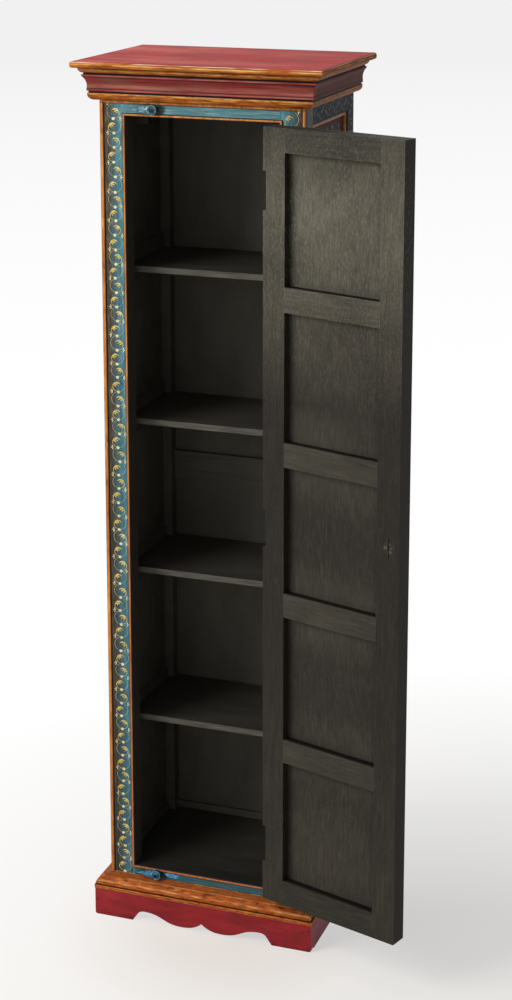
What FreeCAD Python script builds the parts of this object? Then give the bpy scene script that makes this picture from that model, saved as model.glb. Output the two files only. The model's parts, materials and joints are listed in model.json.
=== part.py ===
import FreeCAD, Part
import math
import os

from FreeCAD import Placement, Rotation, Vector

# A tall painted cabinet with one inset five-panel door, drawn with the door standing open.
# Millimetres. X to the right, Y towards the wall, Z up; the origin is on the floor, in the
# middle of the underside of the back plinth board.

# Carcass
total_height = 1800.0
body_width = 424.0
body_depth = 304.0
front_post_width = 53.0
front_post_depth = 38.0
back_post_width = 38.0
back_post_depth = 40.0

# Top board and the three layers of crown moulding, each with its reach beyond the carcass
slab_thickness = 13.0
slab_overhang = 44.0
slab_back_overhang = 12.0
slab_nose = 5.0
upper_ovolo_height = 13.5
upper_ovolo_reach = 32.0
upper_ovolo_foot = 25.5
upper_ovolo_swell = 2.3
upper_quirk_height = 3.8
upper_quirk_reach = 23.8
cove_height = 32.2
cove_reach = 26.8
cove_foot = 19.3
cove_top_fillet = 3.7
cove_bottom_fillet = 4.5
cove_fillet_step = 0.8
cove_hollow = 3.0
lower_ovolo_height = 18.3
lower_ovolo_reach = 18.5
lower_ovolo_foot = 7.5
lower_ovolo_lip = 2.0
lower_ovolo_swell = 3.5
lower_quirk_height = 3.8
lower_quirk_reach = 16.5

# Plinth, its cap strip and the base moulding above it
plinth_height = 59.0
plinth_overhang = 27.0
plinth_board = 20.0
corner_block = 48.0
corner_block_lift = 6.0
cap_strip_height = 8.0
cap_strip_reach = 28.0
torus_height = 15.0
torus_seat = 25.0
torus_top_reach = 14.0
torus_bulge = 5.0
base_bead_height = 2.0
slope_reach = 13.0
slope_height = 7.0
slope_hollow = 0.6

# Scalloped lower edge of the front plinth board
plinth_corner_round = 6.0
foot_width = 85.0
foot_slant = 13.0
arch_rise = 23.0
arch_shoulder = 18.0
arch_round = 14.0
arch_round_pull = 4.7
lobe_lift = 3.5
lobe_from_middle = 45.0
lobe_flat = 22.5
cusp_rise = 18.0
cusp_half_width = 11.0
cusp_shoulder = 9.0

# Face frame: what shows of the rails, and the planted strips
top_rail_show = 30.0
bottom_rail_show = 21.0
outer_strip_width = 8.0
inner_strip_width = 5.5
top_strip_width = 6.0
strip_projection = 3.0
strip_round = 1.5

# Side and back frames
side_rail_thickness = 24.0
side_top_rail_show = 36.0
side_bottom_rail_show = 36.0
side_middle_rail = 49.0
side_panel_thickness = 10.0
side_panel_recess = 8.0
side_bead_width = 8.0
side_bead_height = 5.5
back_rail_thickness = 24.0
back_middle_rail = 60.0
back_panel_thickness = 8.0
panel_count = 5

# Joinery
groove_depth = 8.0
panel_play = 0.5
tenon_length = 18.0
tenon_thickness = 8.0
tenon_shoulder = 8.0

# Shelves; the lifts are how far each one, from the lowest, lies off an even spacing
shelf_lifts = (-2.0, 6.5, 8.5, 8.5)
shelf_count = len(shelf_lifts)
shelf_thickness = 12.0
shelf_setback = 60.0
shelf_play = 0.5
cleat_width = 16.0
cleat_height = 20.0
floor_thickness = 12.0
door_stop_width = 24.0
door_stop_depth = 16.0
door_stop_drop = 19.0
door_stop_seat = 26.0
door_stop_from_edge = 9.0

# Door
door_thickness = 36.0
door_gap = 1.5
door_stile_width = 50.0
door_top_rail = 46.0
door_middle_rail = 49.0
door_bottom_rail = 52.0
door_panel_thickness = 10.0
door_panel_recess = 10.0
door_bead_width = 8.0
door_bead_height = 7.0
door_tenon_length = 24.0
door_tenon_thickness = 10.0
door_open_angle = 163.0

# Butt hinges, both leaves in one deep gain cut in the edge of the door
hinge_count = 3
hinge_height = 75.0
hinge_from_end = 121.0
knuckle_count = 3
gain_depth = 7.0
gain_play = 0.5
leaf_thickness = 2.5
leaf_width = 27.0
pin_stand_off = 5.0
pin_radius = 2.2
pin_clearance = 0.05
pin_head_height = 2.0
barrel_wall = 1.95
knuckle_gap = 0.3
screw_radius = 1.6
screw_length = 15.0
screw_head_radius = 3.2
screw_head_height = 1.0
screw_clearance = 0.02
screws_per_leaf = 3
leaf_screw_margin = 11.0

# Turn-buttons
button_stand_off = 2.0
button_height = 9.0
button_leaf_height = 7.0
button_clearance = 0.5
button_widest = 10.3
button_tail = 44.0
button_root_width = 18.0
button_leaf_swell = 3.0
button_boss_radius = 4.5
button_ring_width = 1.6
button_ring_depth = 1.2
button_from_edge_top = 60.0
button_from_edge_bottom = 52.0
pivot_radius = 2.5
pivot_clearance = 0.05
pivot_length = 26.0
pivot_head_radius = 4.2
pivot_head_height = 2.2
turning_clearance = 0.2

# Ring pull on the outer face of the door
pull_lift = 18.0
plate_radius = 14.0
plate_thickness = 2.5
eye_radius = 4.9
eye_wire = 1.8
cotter_radius = 2.4
cotter_leg_length = 19.0
cotter_leg_width = 3.4
cotter_leg_thickness = 1.6
ring_radius = 14.0
ring_wire = 2.2

# Nails in the front plinth board
nail_radius = 1.8
nail_length = 14.0
nail_proud = 0.6
nail_from_end = 6.0
left_nail_height = 33.5
right_nail_height = 46.0

# Levels and faces that follow from the sizes above
left = -body_width / 2
right = body_width / 2
back = plinth_board / 2
front = back - body_depth
slab_bottom = total_height - slab_thickness
cove_top = slab_bottom - upper_ovolo_height
lower_ovolo_top = cove_top - cove_height
crown_bottom = lower_ovolo_top - lower_ovolo_height
cap_top = plinth_height + cap_strip_height
torus_top = cap_top + torus_height
slope_foot = torus_top + base_bead_height
base_top = slope_foot + slope_height
opening_top = crown_bottom - top_rail_show
opening_bottom = base_top + bottom_rail_show
opening_half = right - front_post_width
frame_back = front + front_post_depth
back_post_front = back - back_post_depth
side_opening_top = crown_bottom - side_top_rail_show
side_opening_bottom = base_top + side_bottom_rail_show
panel_outer = right - side_panel_recess
panel_inner = panel_outer - side_panel_thickness
side_inner = right - side_rail_thickness
back_inner = back - back_rail_thickness
tenon_line = (panel_outer + panel_inner) / 2

# Placings that turn a flat drawing (drawn in X and Y, standing up along Z) to a face
on_front = Rotation(Vector(1, 0, 0), Vector(0, 0, 1), Vector(0, -1, 0), "XYZ")
on_right = Rotation(Vector(0, 1, 0), Vector(0, 0, 1), Vector(1, 0, 0), "XYZ")
on_left = Rotation(Vector(0, -1, 0), Vector(0, 0, 1), Vector(-1, 0, 0), "XYZ")


def box(x, y, z):
    """A block between the two values given for each axis, in either order."""
    low = Vector(min(x), min(y), min(z))
    high = Vector(max(x), max(y), max(z))
    size = high - low
    return Part.makeBox(size.x, size.y, size.z, low)


def rod(start, end, radius):
    """A round bar from one point to another."""
    run = end - start
    return Part.makeCylinder(radius, run.Length, start, run)


def minus(shape, tools):
    """The shape with every tool cut out of it."""
    if not tools:
        return shape
    return shape.cut(Part.makeCompound(tools))


def joined(shapes):
    """One solid made of shapes that meet."""
    return shapes[0].fuse(shapes[1:]).removeSplitter()


def drawn_face(place, start, steps):
    """A closed face from lines (u, v) and arcs (u, v, sagitta), put in space by place(u, v)."""
    edges = []
    u, v = start
    for step in list(steps) + [start]:
        end_u, end_v = step[0], step[1]
        if len(step) == 2:
            edges.append(Part.LineSegment(place(u, v), place(end_u, end_v)).toShape())
        else:
            chord = math.hypot(end_u - u, end_v - v)
            middle_u = (u + end_u) / 2 + step[2] * (end_v - v) / chord
            middle_v = (v + end_v) / 2 - step[2] * (end_u - u) / chord
            arc = Part.Arc(place(u, v), place(middle_u, middle_v), place(end_u, end_v))
            edges.append(arc.toShape())
        u, v = end_u, end_v
    return Part.Face(Part.Wire(edges))


def flat(u, v):
    """A point of a drawing that lies in X and Y."""
    return Vector(u, v, 0)


def plate_of(points, z):
    """An upright prism on a plan of straight lines, between two heights."""
    corners = [Vector(x, y, min(z)) for x, y in points]
    face = Part.Face(Part.makePolygon(corners + corners[:1]))
    return face.extrude(Vector(0, 0, max(z) - min(z)))


def spread(first, last, count):
    """Evenly spaced values from first to last."""
    if count == 1:
        return [(first + last) / 2]
    return [first + (last - first) * index / (count - 1) for index in range(count)]


def save(name, solids):
    """One file for a node: a single solid, or a group of separate ones."""
    shape = solids[0] if len(solids) == 1 else Part.makeCompound(solids)
    shape.exportStep("parts/" + name + ".step")


def moulding(start, steps, z):
    """A moulding planted round the front and both sides, mitred at the front corners."""
    bulge = max([step[2] for step in steps if len(step) == 3], default=0)
    reach = max(step[0] for step in steps) + max(bulge, 0)
    far_left = left - reach
    far_right = right + reach
    near = front - reach
    front_profile = drawn_face(lambda u, v: Vector(far_left, front - u, v), start, steps)
    front_plan = [(left, front), (right, front), (far_right, near), (far_left, near)]
    length = front_profile.extrude(Vector(far_right - far_left, 0, 0))
    pieces = [length.common(plate_of(front_plan, z))]
    for side in (-1, 1):
        profile = drawn_face(lambda u, v: Vector(side * (right + u), near, v), start, steps)
        inner = side * right
        outer = side * far_right
        plan = [(inner, front), (outer, near), (outer, back), (inner, back)]
        length = profile.extrude(Vector(0, back - near, 0))
        pieces.append(length.common(plate_of(plan, z)))
    return pieces


def bead_frame(u, v, width, height, turn, base):
    """Four mitred half-round strips inside a rectangle, standing on the face at base."""
    pieces = []
    low = min(u)
    wide = max(u) - low
    bottom = min(v)
    tall = max(v) - bottom
    rise = height / 2
    for length, spin, corner in (
        (wide, 0, flat(low, bottom)),
        (tall, 90, flat(low + wide, bottom)),
        (wide, 180, flat(low + wide, bottom + tall)),
        (tall, 270, flat(low, bottom + tall)),
    ):
        profile_steps = [(width, 0), (width, rise), (0, rise, height - rise)]
        profile = drawn_face(lambda a, b: Vector(0, a, b), (0, 0), profile_steps)
        strip = profile.extrude(Vector(length, 0, 0))
        mitre = [(0, 0), (length, 0), (length - width, width), (width, width)]
        strip = strip.common(plate_of(mitre, (0, height)))
        strip.Placement = Placement(corner, Rotation(Vector(0, 0, 1), spin))
        strip = strip.copy()
        strip.Placement = Placement(base, turn).multiply(strip.Placement)
        pieces.append(strip)
    return pieces


def screw_solid(tip_face, direction):
    """A dome-headed wood screw: tip_face is where the head sits, direction points into the wood."""
    shank = rod(tip_face, tip_face + direction * screw_length, screw_radius)
    head = rod(tip_face - direction * screw_head_height, tip_face, screw_head_radius)
    return joined([shank, head])


def screw_hole(tip_face, direction):
    """The hole that such a screw fills."""
    return rod(tip_face, tip_face + direction * screw_length, screw_radius + screw_clearance)


# Where the five side panels and their middle rails come
side_panel_height = (
    side_opening_top - side_opening_bottom - (panel_count - 1) * side_middle_rail
) / panel_count
side_panel_spans = []
for index in range(panel_count):
    panel_low = side_opening_bottom + index * (side_panel_height + side_middle_rail)
    side_panel_spans.append((panel_low, panel_low + side_panel_height))
side_rail_spans = [(plinth_height, side_opening_bottom)]
for lower, upper in zip(side_panel_spans, side_panel_spans[1:]):
    side_rail_spans.append((lower[1], upper[0]))
side_rail_spans.append((side_opening_top, slab_bottom))

# The two rails of the face frame, and the three back rails
front_rail_spans = [(plinth_height, opening_bottom), (opening_top, slab_bottom)]
back_middle = (side_opening_bottom + side_opening_top) / 2
back_rail_spans = [
    (plinth_height, side_opening_bottom),
    (back_middle - back_middle_rail / 2, back_middle + back_middle_rail / 2),
    (side_opening_top, slab_bottom),
]
back_panel_spans = [
    (back_rail_spans[0][1], back_rail_spans[1][0]),
    (back_rail_spans[1][1], back_rail_spans[2][0]),
]
back_panel_faces = (
    back - (back_rail_thickness + back_panel_thickness) / 2,
    back - (back_rail_thickness - back_panel_thickness) / 2,
)

# The line about which the door turns
pin_x = opening_half - (door_gap + gain_depth) / 2
pin_y = front - pin_stand_off
door_left = -opening_half + door_gap
door_right = opening_half - door_gap
door_bottom = opening_bottom + door_gap
door_top = opening_top - door_gap
door_back = front + door_thickness
hinge_spans = [
    (middle - hinge_height / 2, middle + hinge_height / 2)
    for middle in spread(door_bottom + hinge_from_end, door_top - hinge_from_end, hinge_count)
]
leaf_screw_y = front + leaf_width / 2
frame_leaf_face = opening_half - leaf_thickness
gain_floor = door_right - gain_depth
door_leaf_face = gain_floor + leaf_thickness


def leaf_screw_heights(span):
    """The heights of one leaf's screws."""
    return spread(span[0] + leaf_screw_margin, span[1] - leaf_screw_margin, screws_per_leaf)


frame_screw_seats = []
door_screw_seats = []
for span in hinge_spans:
    for height in leaf_screw_heights(span):
        frame_screw_seats.append(Vector(frame_leaf_face, leaf_screw_y, height))
        door_screw_seats.append(Vector(door_leaf_face, leaf_screw_y, height))

# The pivots of the turn-buttons, on what shows of each rail between the strips, and the
# rosette's radius, kept clear of the slope of the base moulding
button_back = strip_projection + button_stand_off
button_front = button_back + button_height
bottom_pivot_height = opening_bottom - inner_strip_width - button_boss_radius - button_clearance
bottom_pivot = Vector(-opening_half + button_from_edge_bottom, front, bottom_pivot_height)
top_pivot_height = opening_top + (top_rail_show - top_strip_width + inner_strip_width) / 2
top_pivot = Vector(-opening_half + button_from_edge_top, front, top_pivot_height)
slope_under_button = base_top - slope_height * button_back / slope_reach
button_radius = min(button_widest, bottom_pivot_height - slope_under_button - button_clearance)


def post_cut(depth, near_end):
    """How a cut of that depth runs into the front post (near_end) or into the back post."""
    if near_end:
        return (frame_back - depth, frame_back)
    return (back_post_front, back_post_front + depth)


def side_tenon(side, span, near_end):
    """The tenon of a side rail in the front post (near_end) or in the back post."""
    x = (side * (tenon_line - tenon_thickness / 2), side * (tenon_line + tenon_thickness / 2))
    y = post_cut(tenon_length, near_end)
    return box(x, y, (span[0] + tenon_shoulder, span[1] - tenon_shoulder))


def side_groove(side, span, near_end):
    """The groove of a side panel in the front post (near_end) or in the back post."""
    x = (side * panel_inner, side * panel_outer)
    y = post_cut(groove_depth, near_end)
    return box(x, y, (span[0] - groove_depth, span[1] + groove_depth))


def front_tenon(side, span):
    """The tenon of a face-frame rail in a front post."""
    middle = front + front_post_depth / 2
    y = (middle - tenon_thickness / 2, middle + tenon_thickness / 2)
    x = (side * opening_half, side * (opening_half + tenon_length))
    return box(x, y, (span[0] + tenon_shoulder, span[1] - tenon_shoulder))


def back_tenon(side, span):
    """The tenon of a back rail in a back post."""
    inner = right - back_post_width
    x = (side * inner, side * (inner + tenon_length))
    middle = back - back_rail_thickness / 2
    y = (middle - tenon_thickness / 2, middle + tenon_thickness / 2)
    return box(x, y, (span[0] + tenon_shoulder, span[1] - tenon_shoulder))


def back_groove(side, span):
    """The groove of a back panel in a back post."""
    inner = right - back_post_width
    x = (side * inner, side * (inner + groove_depth))
    return box(x, back_panel_faces, (span[0] - groove_depth, span[1] + groove_depth))


def make_posts():
    """The four corner posts, with their mortises, grooves and screw holes."""
    height = (plinth_height, slab_bottom)
    inner = right - back_post_width
    for side, word in ((-1, "left"), (1, "right")):
        post = box((side * opening_half, side * right), (front, frame_back), height)
        cuts = [side_tenon(side, span, True) for span in side_rail_spans]
        cuts += [side_groove(side, span, True) for span in side_panel_spans]
        cuts += [front_tenon(side, span) for span in front_rail_spans]
        if side > 0:
            cuts += [screw_hole(seat, Vector(1, 0, 0)) for seat in frame_screw_seats]
        save(word + "_front_post", [minus(post, cuts)])

        post = box((side * inner, side * right), (back_post_front, back), height)
        cuts = [side_tenon(side, span, False) for span in side_rail_spans]
        cuts += [side_groove(side, span, False) for span in side_panel_spans]
        cuts += [back_tenon(side, span) for span in back_rail_spans]
        cuts += [back_groove(side, span) for span in back_panel_spans]
        save(word + "_back_post", [minus(post, cuts)])


def make_face_frame():
    """The two rails of the face frame and the strips planted round it."""
    names = ("bottom_front_rail", "top_front_rail")
    for name, span, pivot in zip(names, front_rail_spans, (bottom_pivot, top_pivot)):
        rail = box((-opening_half, opening_half), (front, frame_back), span)
        rail = joined([rail, front_tenon(-1, span), front_tenon(1, span)])
        inward = pivot + Vector(0, pivot_length - button_front, 0)
        save(name, [minus(rail, [rod(pivot, inward, pivot_radius + screw_clearance)])])

    corner = strip_projection - strip_round
    strips = []
    for side in (-1, 1):
        place = lambda u, v: Vector(side * u, front - v, base_top)
        steps = [(right - outer_strip_width, corner), (right, corner, -strip_round), (right, 0)]
        profile = drawn_face(place, (right - outer_strip_width, 0), steps)
        strips.append(profile.extrude(Vector(0, 0, crown_bottom - base_top)))
    place = lambda u, v: Vector(left + outer_strip_width, front - v, u)
    steps = [(crown_bottom, corner, -strip_round), (crown_bottom, 0)]
    start = (crown_bottom - top_strip_width, 0)
    profile = drawn_face(place, start, [(start[0], corner)] + steps)
    strips.append(profile.extrude(Vector(body_width - 2 * outer_strip_width, 0, 0)))
    save("face_border_strips", strips)

    reach = opening_half + inner_strip_width
    width = (-reach, reach)
    height = (opening_bottom - inner_strip_width, opening_top + inner_strip_width)
    base = Vector(0, front, 0)
    strips = bead_frame(width, height, inner_strip_width, strip_projection, on_front, base)
    save("opening_strips", strips)


def make_sides():
    """The rails, floating panels and beads of both sides."""
    for side, word, turn in ((-1, "left", on_left), (1, "right", on_right)):
        rails = []
        for index, span in enumerate(side_rail_spans):
            rail = box((side * side_inner, side * right), (frame_back, back_post_front), span)
            rail = joined([rail, side_tenon(side, span, True), side_tenon(side, span, False)])
            y = (frame_back, back_post_front)
            x = (side * panel_inner, side * panel_outer)
            cuts = []
            if index > 0:
                cuts.append(box(x, y, (span[0], span[0] + groove_depth)))
            if index < panel_count:
                cuts.append(box(x, y, (span[1] - groove_depth, span[1])))
            rails.append(minus(rail, cuts))
        save(word + "_side_rails", rails)

        tongue = groove_depth - panel_play
        panels = []
        beads = []
        for span in side_panel_spans:
            y = (frame_back - tongue, back_post_front + tongue)
            z = (span[0] - tongue, span[1] + tongue)
            panels.append(box((side * panel_inner, side * panel_outer), y, z))
            u = (side * frame_back, side * back_post_front)
            base = Vector(side * panel_outer, 0, 0)
            beads += bead_frame(u, span, side_bead_width, side_bead_height, turn, base)
        save(word + "_side_panels", panels)
        save(word + "_side_beads", beads)


def make_back():
    """The three rails and two panels of the back."""
    inner = right - back_post_width
    rails = []
    last = len(back_rail_spans) - 1
    for index, span in enumerate(back_rail_spans):
        rail = box((-inner, inner), (back_inner, back), span)
        rail = joined([rail, back_tenon(-1, span), back_tenon(1, span)])
        cuts = []
        if index > 0:
            cuts.append(box((-inner, inner), back_panel_faces, (span[0], span[0] + groove_depth)))
        if index < last:
            cuts.append(box((-inner, inner), back_panel_faces, (span[1] - groove_depth, span[1])))
        rails.append(minus(rail, cuts))
    save("back_rails", rails)

    tongue = groove_depth - panel_play
    x = (-inner - tongue, inner + tongue)
    panels = []
    for span in back_panel_spans:
        panels.append(box(x, back_panel_faces, (span[0] - tongue, span[1] + tongue)))
    save("back_panels", panels)


def inside_board(depth_front, z):
    """A board that fills the inside from side to side, notched round the back posts."""
    wide = side_inner - shelf_play
    board = box((-wide, wide), (depth_front, back_inner - shelf_play), z)
    notch = right - back_post_width - shelf_play
    notch_depth = (back_post_front - shelf_play, back)
    cuts = [box((side * notch, side * right), notch_depth, z) for side in (-1, 1)]
    return minus(board, cuts)


def make_inside():
    """Floor board, shelves, the cleats that carry them and the stop for the door."""
    floor_top = opening_bottom
    save("floor_board", [inside_board(frame_back, (floor_top - floor_thickness, floor_top))])
    cleat_tops = [floor_top - floor_thickness]
    pitch = (door_top - opening_bottom) / (shelf_count + 1)
    for index, lift in enumerate(shelf_lifts):
        top = floor_top + (index + 1) * pitch + lift
        shelf = inside_board(front + shelf_setback, (top - shelf_thickness, top))
        save("shelf_" + str(shelf_count - index), [shelf])
        cleat_tops.append(top - shelf_thickness)
    cleats = []
    for top in cleat_tops:
        for side in (-1, 1):
            x = (side * (side_inner - cleat_width), side * side_inner)
            cleats.append(box(x, (frame_back, back_post_front), (top - cleat_height, top)))
    save("shelf_cleats", cleats)

    stop_left = -opening_half + door_stop_from_edge
    stop = box(
        (stop_left, stop_left + door_stop_width),
        (frame_back, frame_back + door_stop_depth),
        (opening_top - door_stop_drop, opening_top + door_stop_seat),
    )
    save("door_stop", [stop])


def make_crown():
    """The top board with its rounded nose, and the crown moulding under it."""
    reach = right + slab_overhang
    depth = (front - slab_overhang, back + slab_back_overhang)
    slab = box((-reach, reach), depth, (slab_bottom, total_height))
    nosed = []
    for edge in slab.Edges:
        middle = edge.CenterOfMass
        level = abs(edge.Vertexes[0].Point.z - edge.Vertexes[-1].Point.z) < slab_nose
        if level and middle.y < max(depth) - slab_nose:
            nosed.append(edge)
    save("top_board", [slab.makeFillet(slab_nose, nosed)])

    quirk = cove_top + upper_quirk_height
    steps = [
        (upper_quirk_reach, cove_top),
        (upper_quirk_reach, quirk),
        (upper_ovolo_foot, quirk),
        (upper_ovolo_reach, slab_bottom, upper_ovolo_swell),
        (0, slab_bottom),
    ]
    save("crown_upper_ovolo", moulding((0, cove_top), steps, (cove_top, slab_bottom)))

    hollow_top = cove_top - cove_top_fillet
    steps = [
        (cove_foot, lower_ovolo_top),
        (cove_foot, lower_ovolo_top + cove_bottom_fillet),
        (cove_reach - cove_fillet_step, hollow_top, -cove_hollow),
        (cove_reach, hollow_top),
        (cove_reach, cove_top),
        (0, cove_top),
    ]
    save("crown_cove", moulding((0, lower_ovolo_top), steps, (lower_ovolo_top, cove_top)))

    quirk = lower_ovolo_top - lower_quirk_height
    steps = [
        (lower_ovolo_foot, crown_bottom),
        (lower_ovolo_reach, quirk - lower_ovolo_lip, lower_ovolo_swell),
        (lower_ovolo_reach, quirk),
        (lower_quirk_reach, quirk),
        (lower_quirk_reach, lower_ovolo_top),
        (0, lower_ovolo_top),
    ]
    save("crown_lower_ovolo", moulding((0, crown_bottom), steps, (crown_bottom, lower_ovolo_top)))


def scalloped_edge():
    """The lower edge of the front plinth board, foot to foot, as (x, z) lines and curves."""
    half = right + plinth_overhang
    foot = half - foot_width
    shoulder = foot - foot_slant
    arch = shoulder - arch_round
    bend = (arch - lobe_from_middle) / 2
    arch_end = (arch, arch_rise)
    lobe = (lobe_from_middle, lobe_lift)
    lobe_end = (lobe_from_middle - lobe_flat, lobe_lift)
    runs = [
        [(half, plinth_corner_round), (half, 0), (half - plinth_corner_round, 0)],
        [(half - plinth_corner_round, 0), (foot, 0)],
        [(foot, 0), (shoulder, arch_shoulder)],
        [(shoulder, arch_shoulder), (shoulder - arch_round_pull, arch_rise), arch_end],
        [arch_end, (arch - bend, arch_rise), (lobe_from_middle + bend, lobe_lift), lobe],
        [lobe, lobe_end, (cusp_half_width, cusp_shoulder), (0, cusp_rise)],
    ]
    mirrored = [[(-x, z) for x, z in reversed(run)] for run in reversed(runs)]
    return runs + mirrored


def make_plinth():
    """The four plinth boards, corner blocks, nails, cap strip and base moulding."""
    half = right + plinth_overhang
    face = front - plinth_overhang
    edges = []
    for run in scalloped_edge():
        points = [Vector(x, face, z) for x, z in run]
        if len(points) == 2:
            edges.append(Part.LineSegment(points[0], points[1]).toShape())
        else:
            curve = Part.BezierCurve()
            curve.setPoles(points)
            edges.append(curve.toShape())
    ends = (plinth_corner_round, plinth_height)
    outline = [(-half, ends[0]), (-half, ends[1]), (half, ends[1]), (half, ends[0])]
    corners = [Vector(x, face, z) for x, z in outline]
    for start, end in zip(corners, corners[1:]):
        edges.append(Part.LineSegment(start, end).toShape())
    board = Part.Face(Part.Wire(edges)).extrude(Vector(0, plinth_board, 0))

    nails = []
    nail_holes = []
    for side, height in ((-1, left_nail_height), (1, right_nail_height)):
        point = Vector(side * (half - nail_from_end), face, height)
        tip = point + Vector(0, nail_length, 0)
        nails.append(rod(point - Vector(0, nail_proud, 0), tip, nail_radius))
        nail_holes.append(rod(point, tip, nail_radius + screw_clearance))
    save("plinth_front", [minus(board, nail_holes)])
    save("plinth_nails", nails)

    side_front = face + plinth_board
    for side, word in ((-1, "left"), (1, "right")):
        x = (side * (half - plinth_board), side * half)
        save("plinth_" + word, [box(x, (side_front, back), (0, plinth_height))])
    inner = half - plinth_board
    save("plinth_back", [box((-inner, inner), (back - plinth_board, back), (0, plinth_height))])

    blocks = []
    for side in (-1, 1):
        x = (side * (inner - corner_block), side * inner)
        z = (corner_block_lift, plinth_height)
        blocks.append(box(x, (side_front, side_front + corner_block), z))
        blocks.append(box(x, (back - plinth_board - corner_block, back - plinth_board), z))
    save("plinth_corner_blocks", blocks)

    steps = [(cap_strip_reach, plinth_height), (cap_strip_reach, cap_top), (0, cap_top)]
    save("plinth_cap_strip", moulding((0, plinth_height), steps, (plinth_height, cap_top)))

    steps = [
        (torus_seat, cap_top),
        (torus_top_reach, torus_top, torus_bulge),
        (slope_reach, torus_top),
        (slope_reach, slope_foot),
        (0, base_top, -slope_hollow),
    ]
    save("base_moulding", moulding((0, cap_top), steps, (cap_top, base_top)))


def opened(solids):
    """The solids of the closed door, turned about the hinge pins to where the door stands."""
    turned = []
    for solid in solids:
        copy = solid.copy()
        copy.rotate(Vector(pin_x, pin_y, 0), Vector(0, 0, 1), door_open_angle)
        turned.append(copy)
    return turned


def door_rail_spans():
    """The heights of the six door rails, from the bottom."""
    rails = [door_bottom_rail] + [door_middle_rail] * (panel_count - 1) + [door_top_rail]
    light = (door_top - door_bottom - sum(rails)) / panel_count
    spans = []
    level = door_bottom
    for rail in rails:
        spans.append((level, level + rail))
        level += rail + light
    return spans


def make_door():
    """Stiles, rails, panels and outer beads of the door."""
    spans = door_rail_spans()
    lights = [(lower[1], upper[0]) for lower, upper in zip(spans, spans[1:])]
    depth = (front, door_back)
    panel_faces = (front + door_panel_recess, front + door_panel_recess + door_panel_thickness)
    tenon_middle = sum(panel_faces) / 2
    tenon_faces = (tenon_middle - door_tenon_thickness / 2, tenon_middle + door_tenon_thickness / 2)
    inner_left = door_left + door_stile_width
    inner_right = door_right - door_stile_width
    pull_x = door_left + door_stile_width / 2
    pull_z = (door_bottom + door_top) / 2 + pull_lift

    def tenon(edge, way, span):
        z = (span[0] + tenon_shoulder, span[1] - tenon_shoulder)
        return box((edge, edge + way * door_tenon_length), tenon_faces, z)

    def groove(edge, way, light):
        z = (light[0] - groove_depth, light[1] + groove_depth)
        return box((edge, edge + way * groove_depth), panel_faces, z)

    stile = box((door_left, inner_left), depth, (door_bottom, door_top))
    cuts = [tenon(inner_left, -1, span) for span in spans]
    cuts += [groove(inner_left, -1, light) for light in lights]
    pull_face = Vector(pull_x, front, pull_z)
    pull_back = Vector(pull_x, door_back, pull_z)
    cuts.append(rod(pull_face, pull_back, cotter_radius + screw_clearance))
    save("door_free_stile", opened([minus(stile, cuts)]))

    stile = box((inner_right, door_right), depth, (door_bottom, door_top))
    cuts = [tenon(inner_right, 1, span) for span in spans]
    cuts += [groove(inner_right, 1, light) for light in lights]
    for span in hinge_spans:
        cuts.append(box((gain_floor, door_right), depth, (span[0] - gain_play, span[1] + gain_play)))
    cuts += [screw_hole(seat, Vector(-1, 0, 0)) for seat in door_screw_seats]
    save("door_hinge_stile", opened([minus(stile, cuts)]))

    rails = []
    last = len(spans) - 1
    for index, span in enumerate(spans):
        rail = box((inner_left, inner_right), depth, span)
        rail = joined([rail, tenon(inner_left, -1, span), tenon(inner_right, 1, span)])
        cuts = []
        if index > 0:
            cuts.append(box((inner_left, inner_right), panel_faces, (span[0], span[0] + groove_depth)))
        if index < last:
            cuts.append(box((inner_left, inner_right), panel_faces, (span[1] - groove_depth, span[1])))
        rails.append(minus(rail, cuts))
    save("door_bottom_rail", opened(rails[:1]))
    save("door_middle_rails", opened(rails[1:-1]))
    save("door_top_rail", opened(rails[-1:]))

    tongue = groove_depth - panel_play
    width = (inner_left, inner_right)
    base = Vector(0, panel_faces[0], 0)
    beads = []
    for index, light in enumerate(lights):
        x = (inner_left - tongue, inner_right + tongue)
        panel = box(x, panel_faces, (light[0] - tongue, light[1] + tongue))
        save("door_panel_" + str(panel_count - index), opened([panel]))
        beads += bead_frame(width, light, door_bead_width, door_bead_height, on_front, base)
    save("door_outer_beads", opened(beads))
    make_pull(pull_x, pull_z)


def make_pull(pull_x, pull_z):
    """The ring pull: a plate, a split pin clinched inside the door, and a hanging ring."""
    middle = Vector(pull_x, front, pull_z)
    outward = Vector(0, -1, 0)
    plate_face = middle + outward * plate_thickness
    plate = rod(middle, plate_face, plate_radius)
    plate = minus(plate, [rod(middle, plate_face, cotter_radius + screw_clearance)])
    save("pull_plate", opened([plate]))

    eye_middle = middle + outward * (plate_thickness + eye_radius + eye_wire)
    eye = Part.makeTorus(eye_radius, eye_wire, eye_middle, Vector(1, 0, 0))
    inside = Vector(pull_x, door_back, pull_z)
    shank = rod(middle + outward * (plate_thickness + eye_wire), inside, cotter_radius)
    x = (pull_x - cotter_leg_width / 2, pull_x + cotter_leg_width / 2)
    z = (pull_z - cotter_leg_length, pull_z + cotter_leg_length)
    legs = box(x, (door_back, door_back + cotter_leg_thickness), z)
    save("pull_split_pin", opened([joined([eye, shank, legs])]))

    ring_middle = eye_middle - Vector(0, 0, ring_radius)
    save("pull_ring", opened([Part.makeTorus(ring_radius, ring_wire, ring_middle, outward)]))


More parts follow.
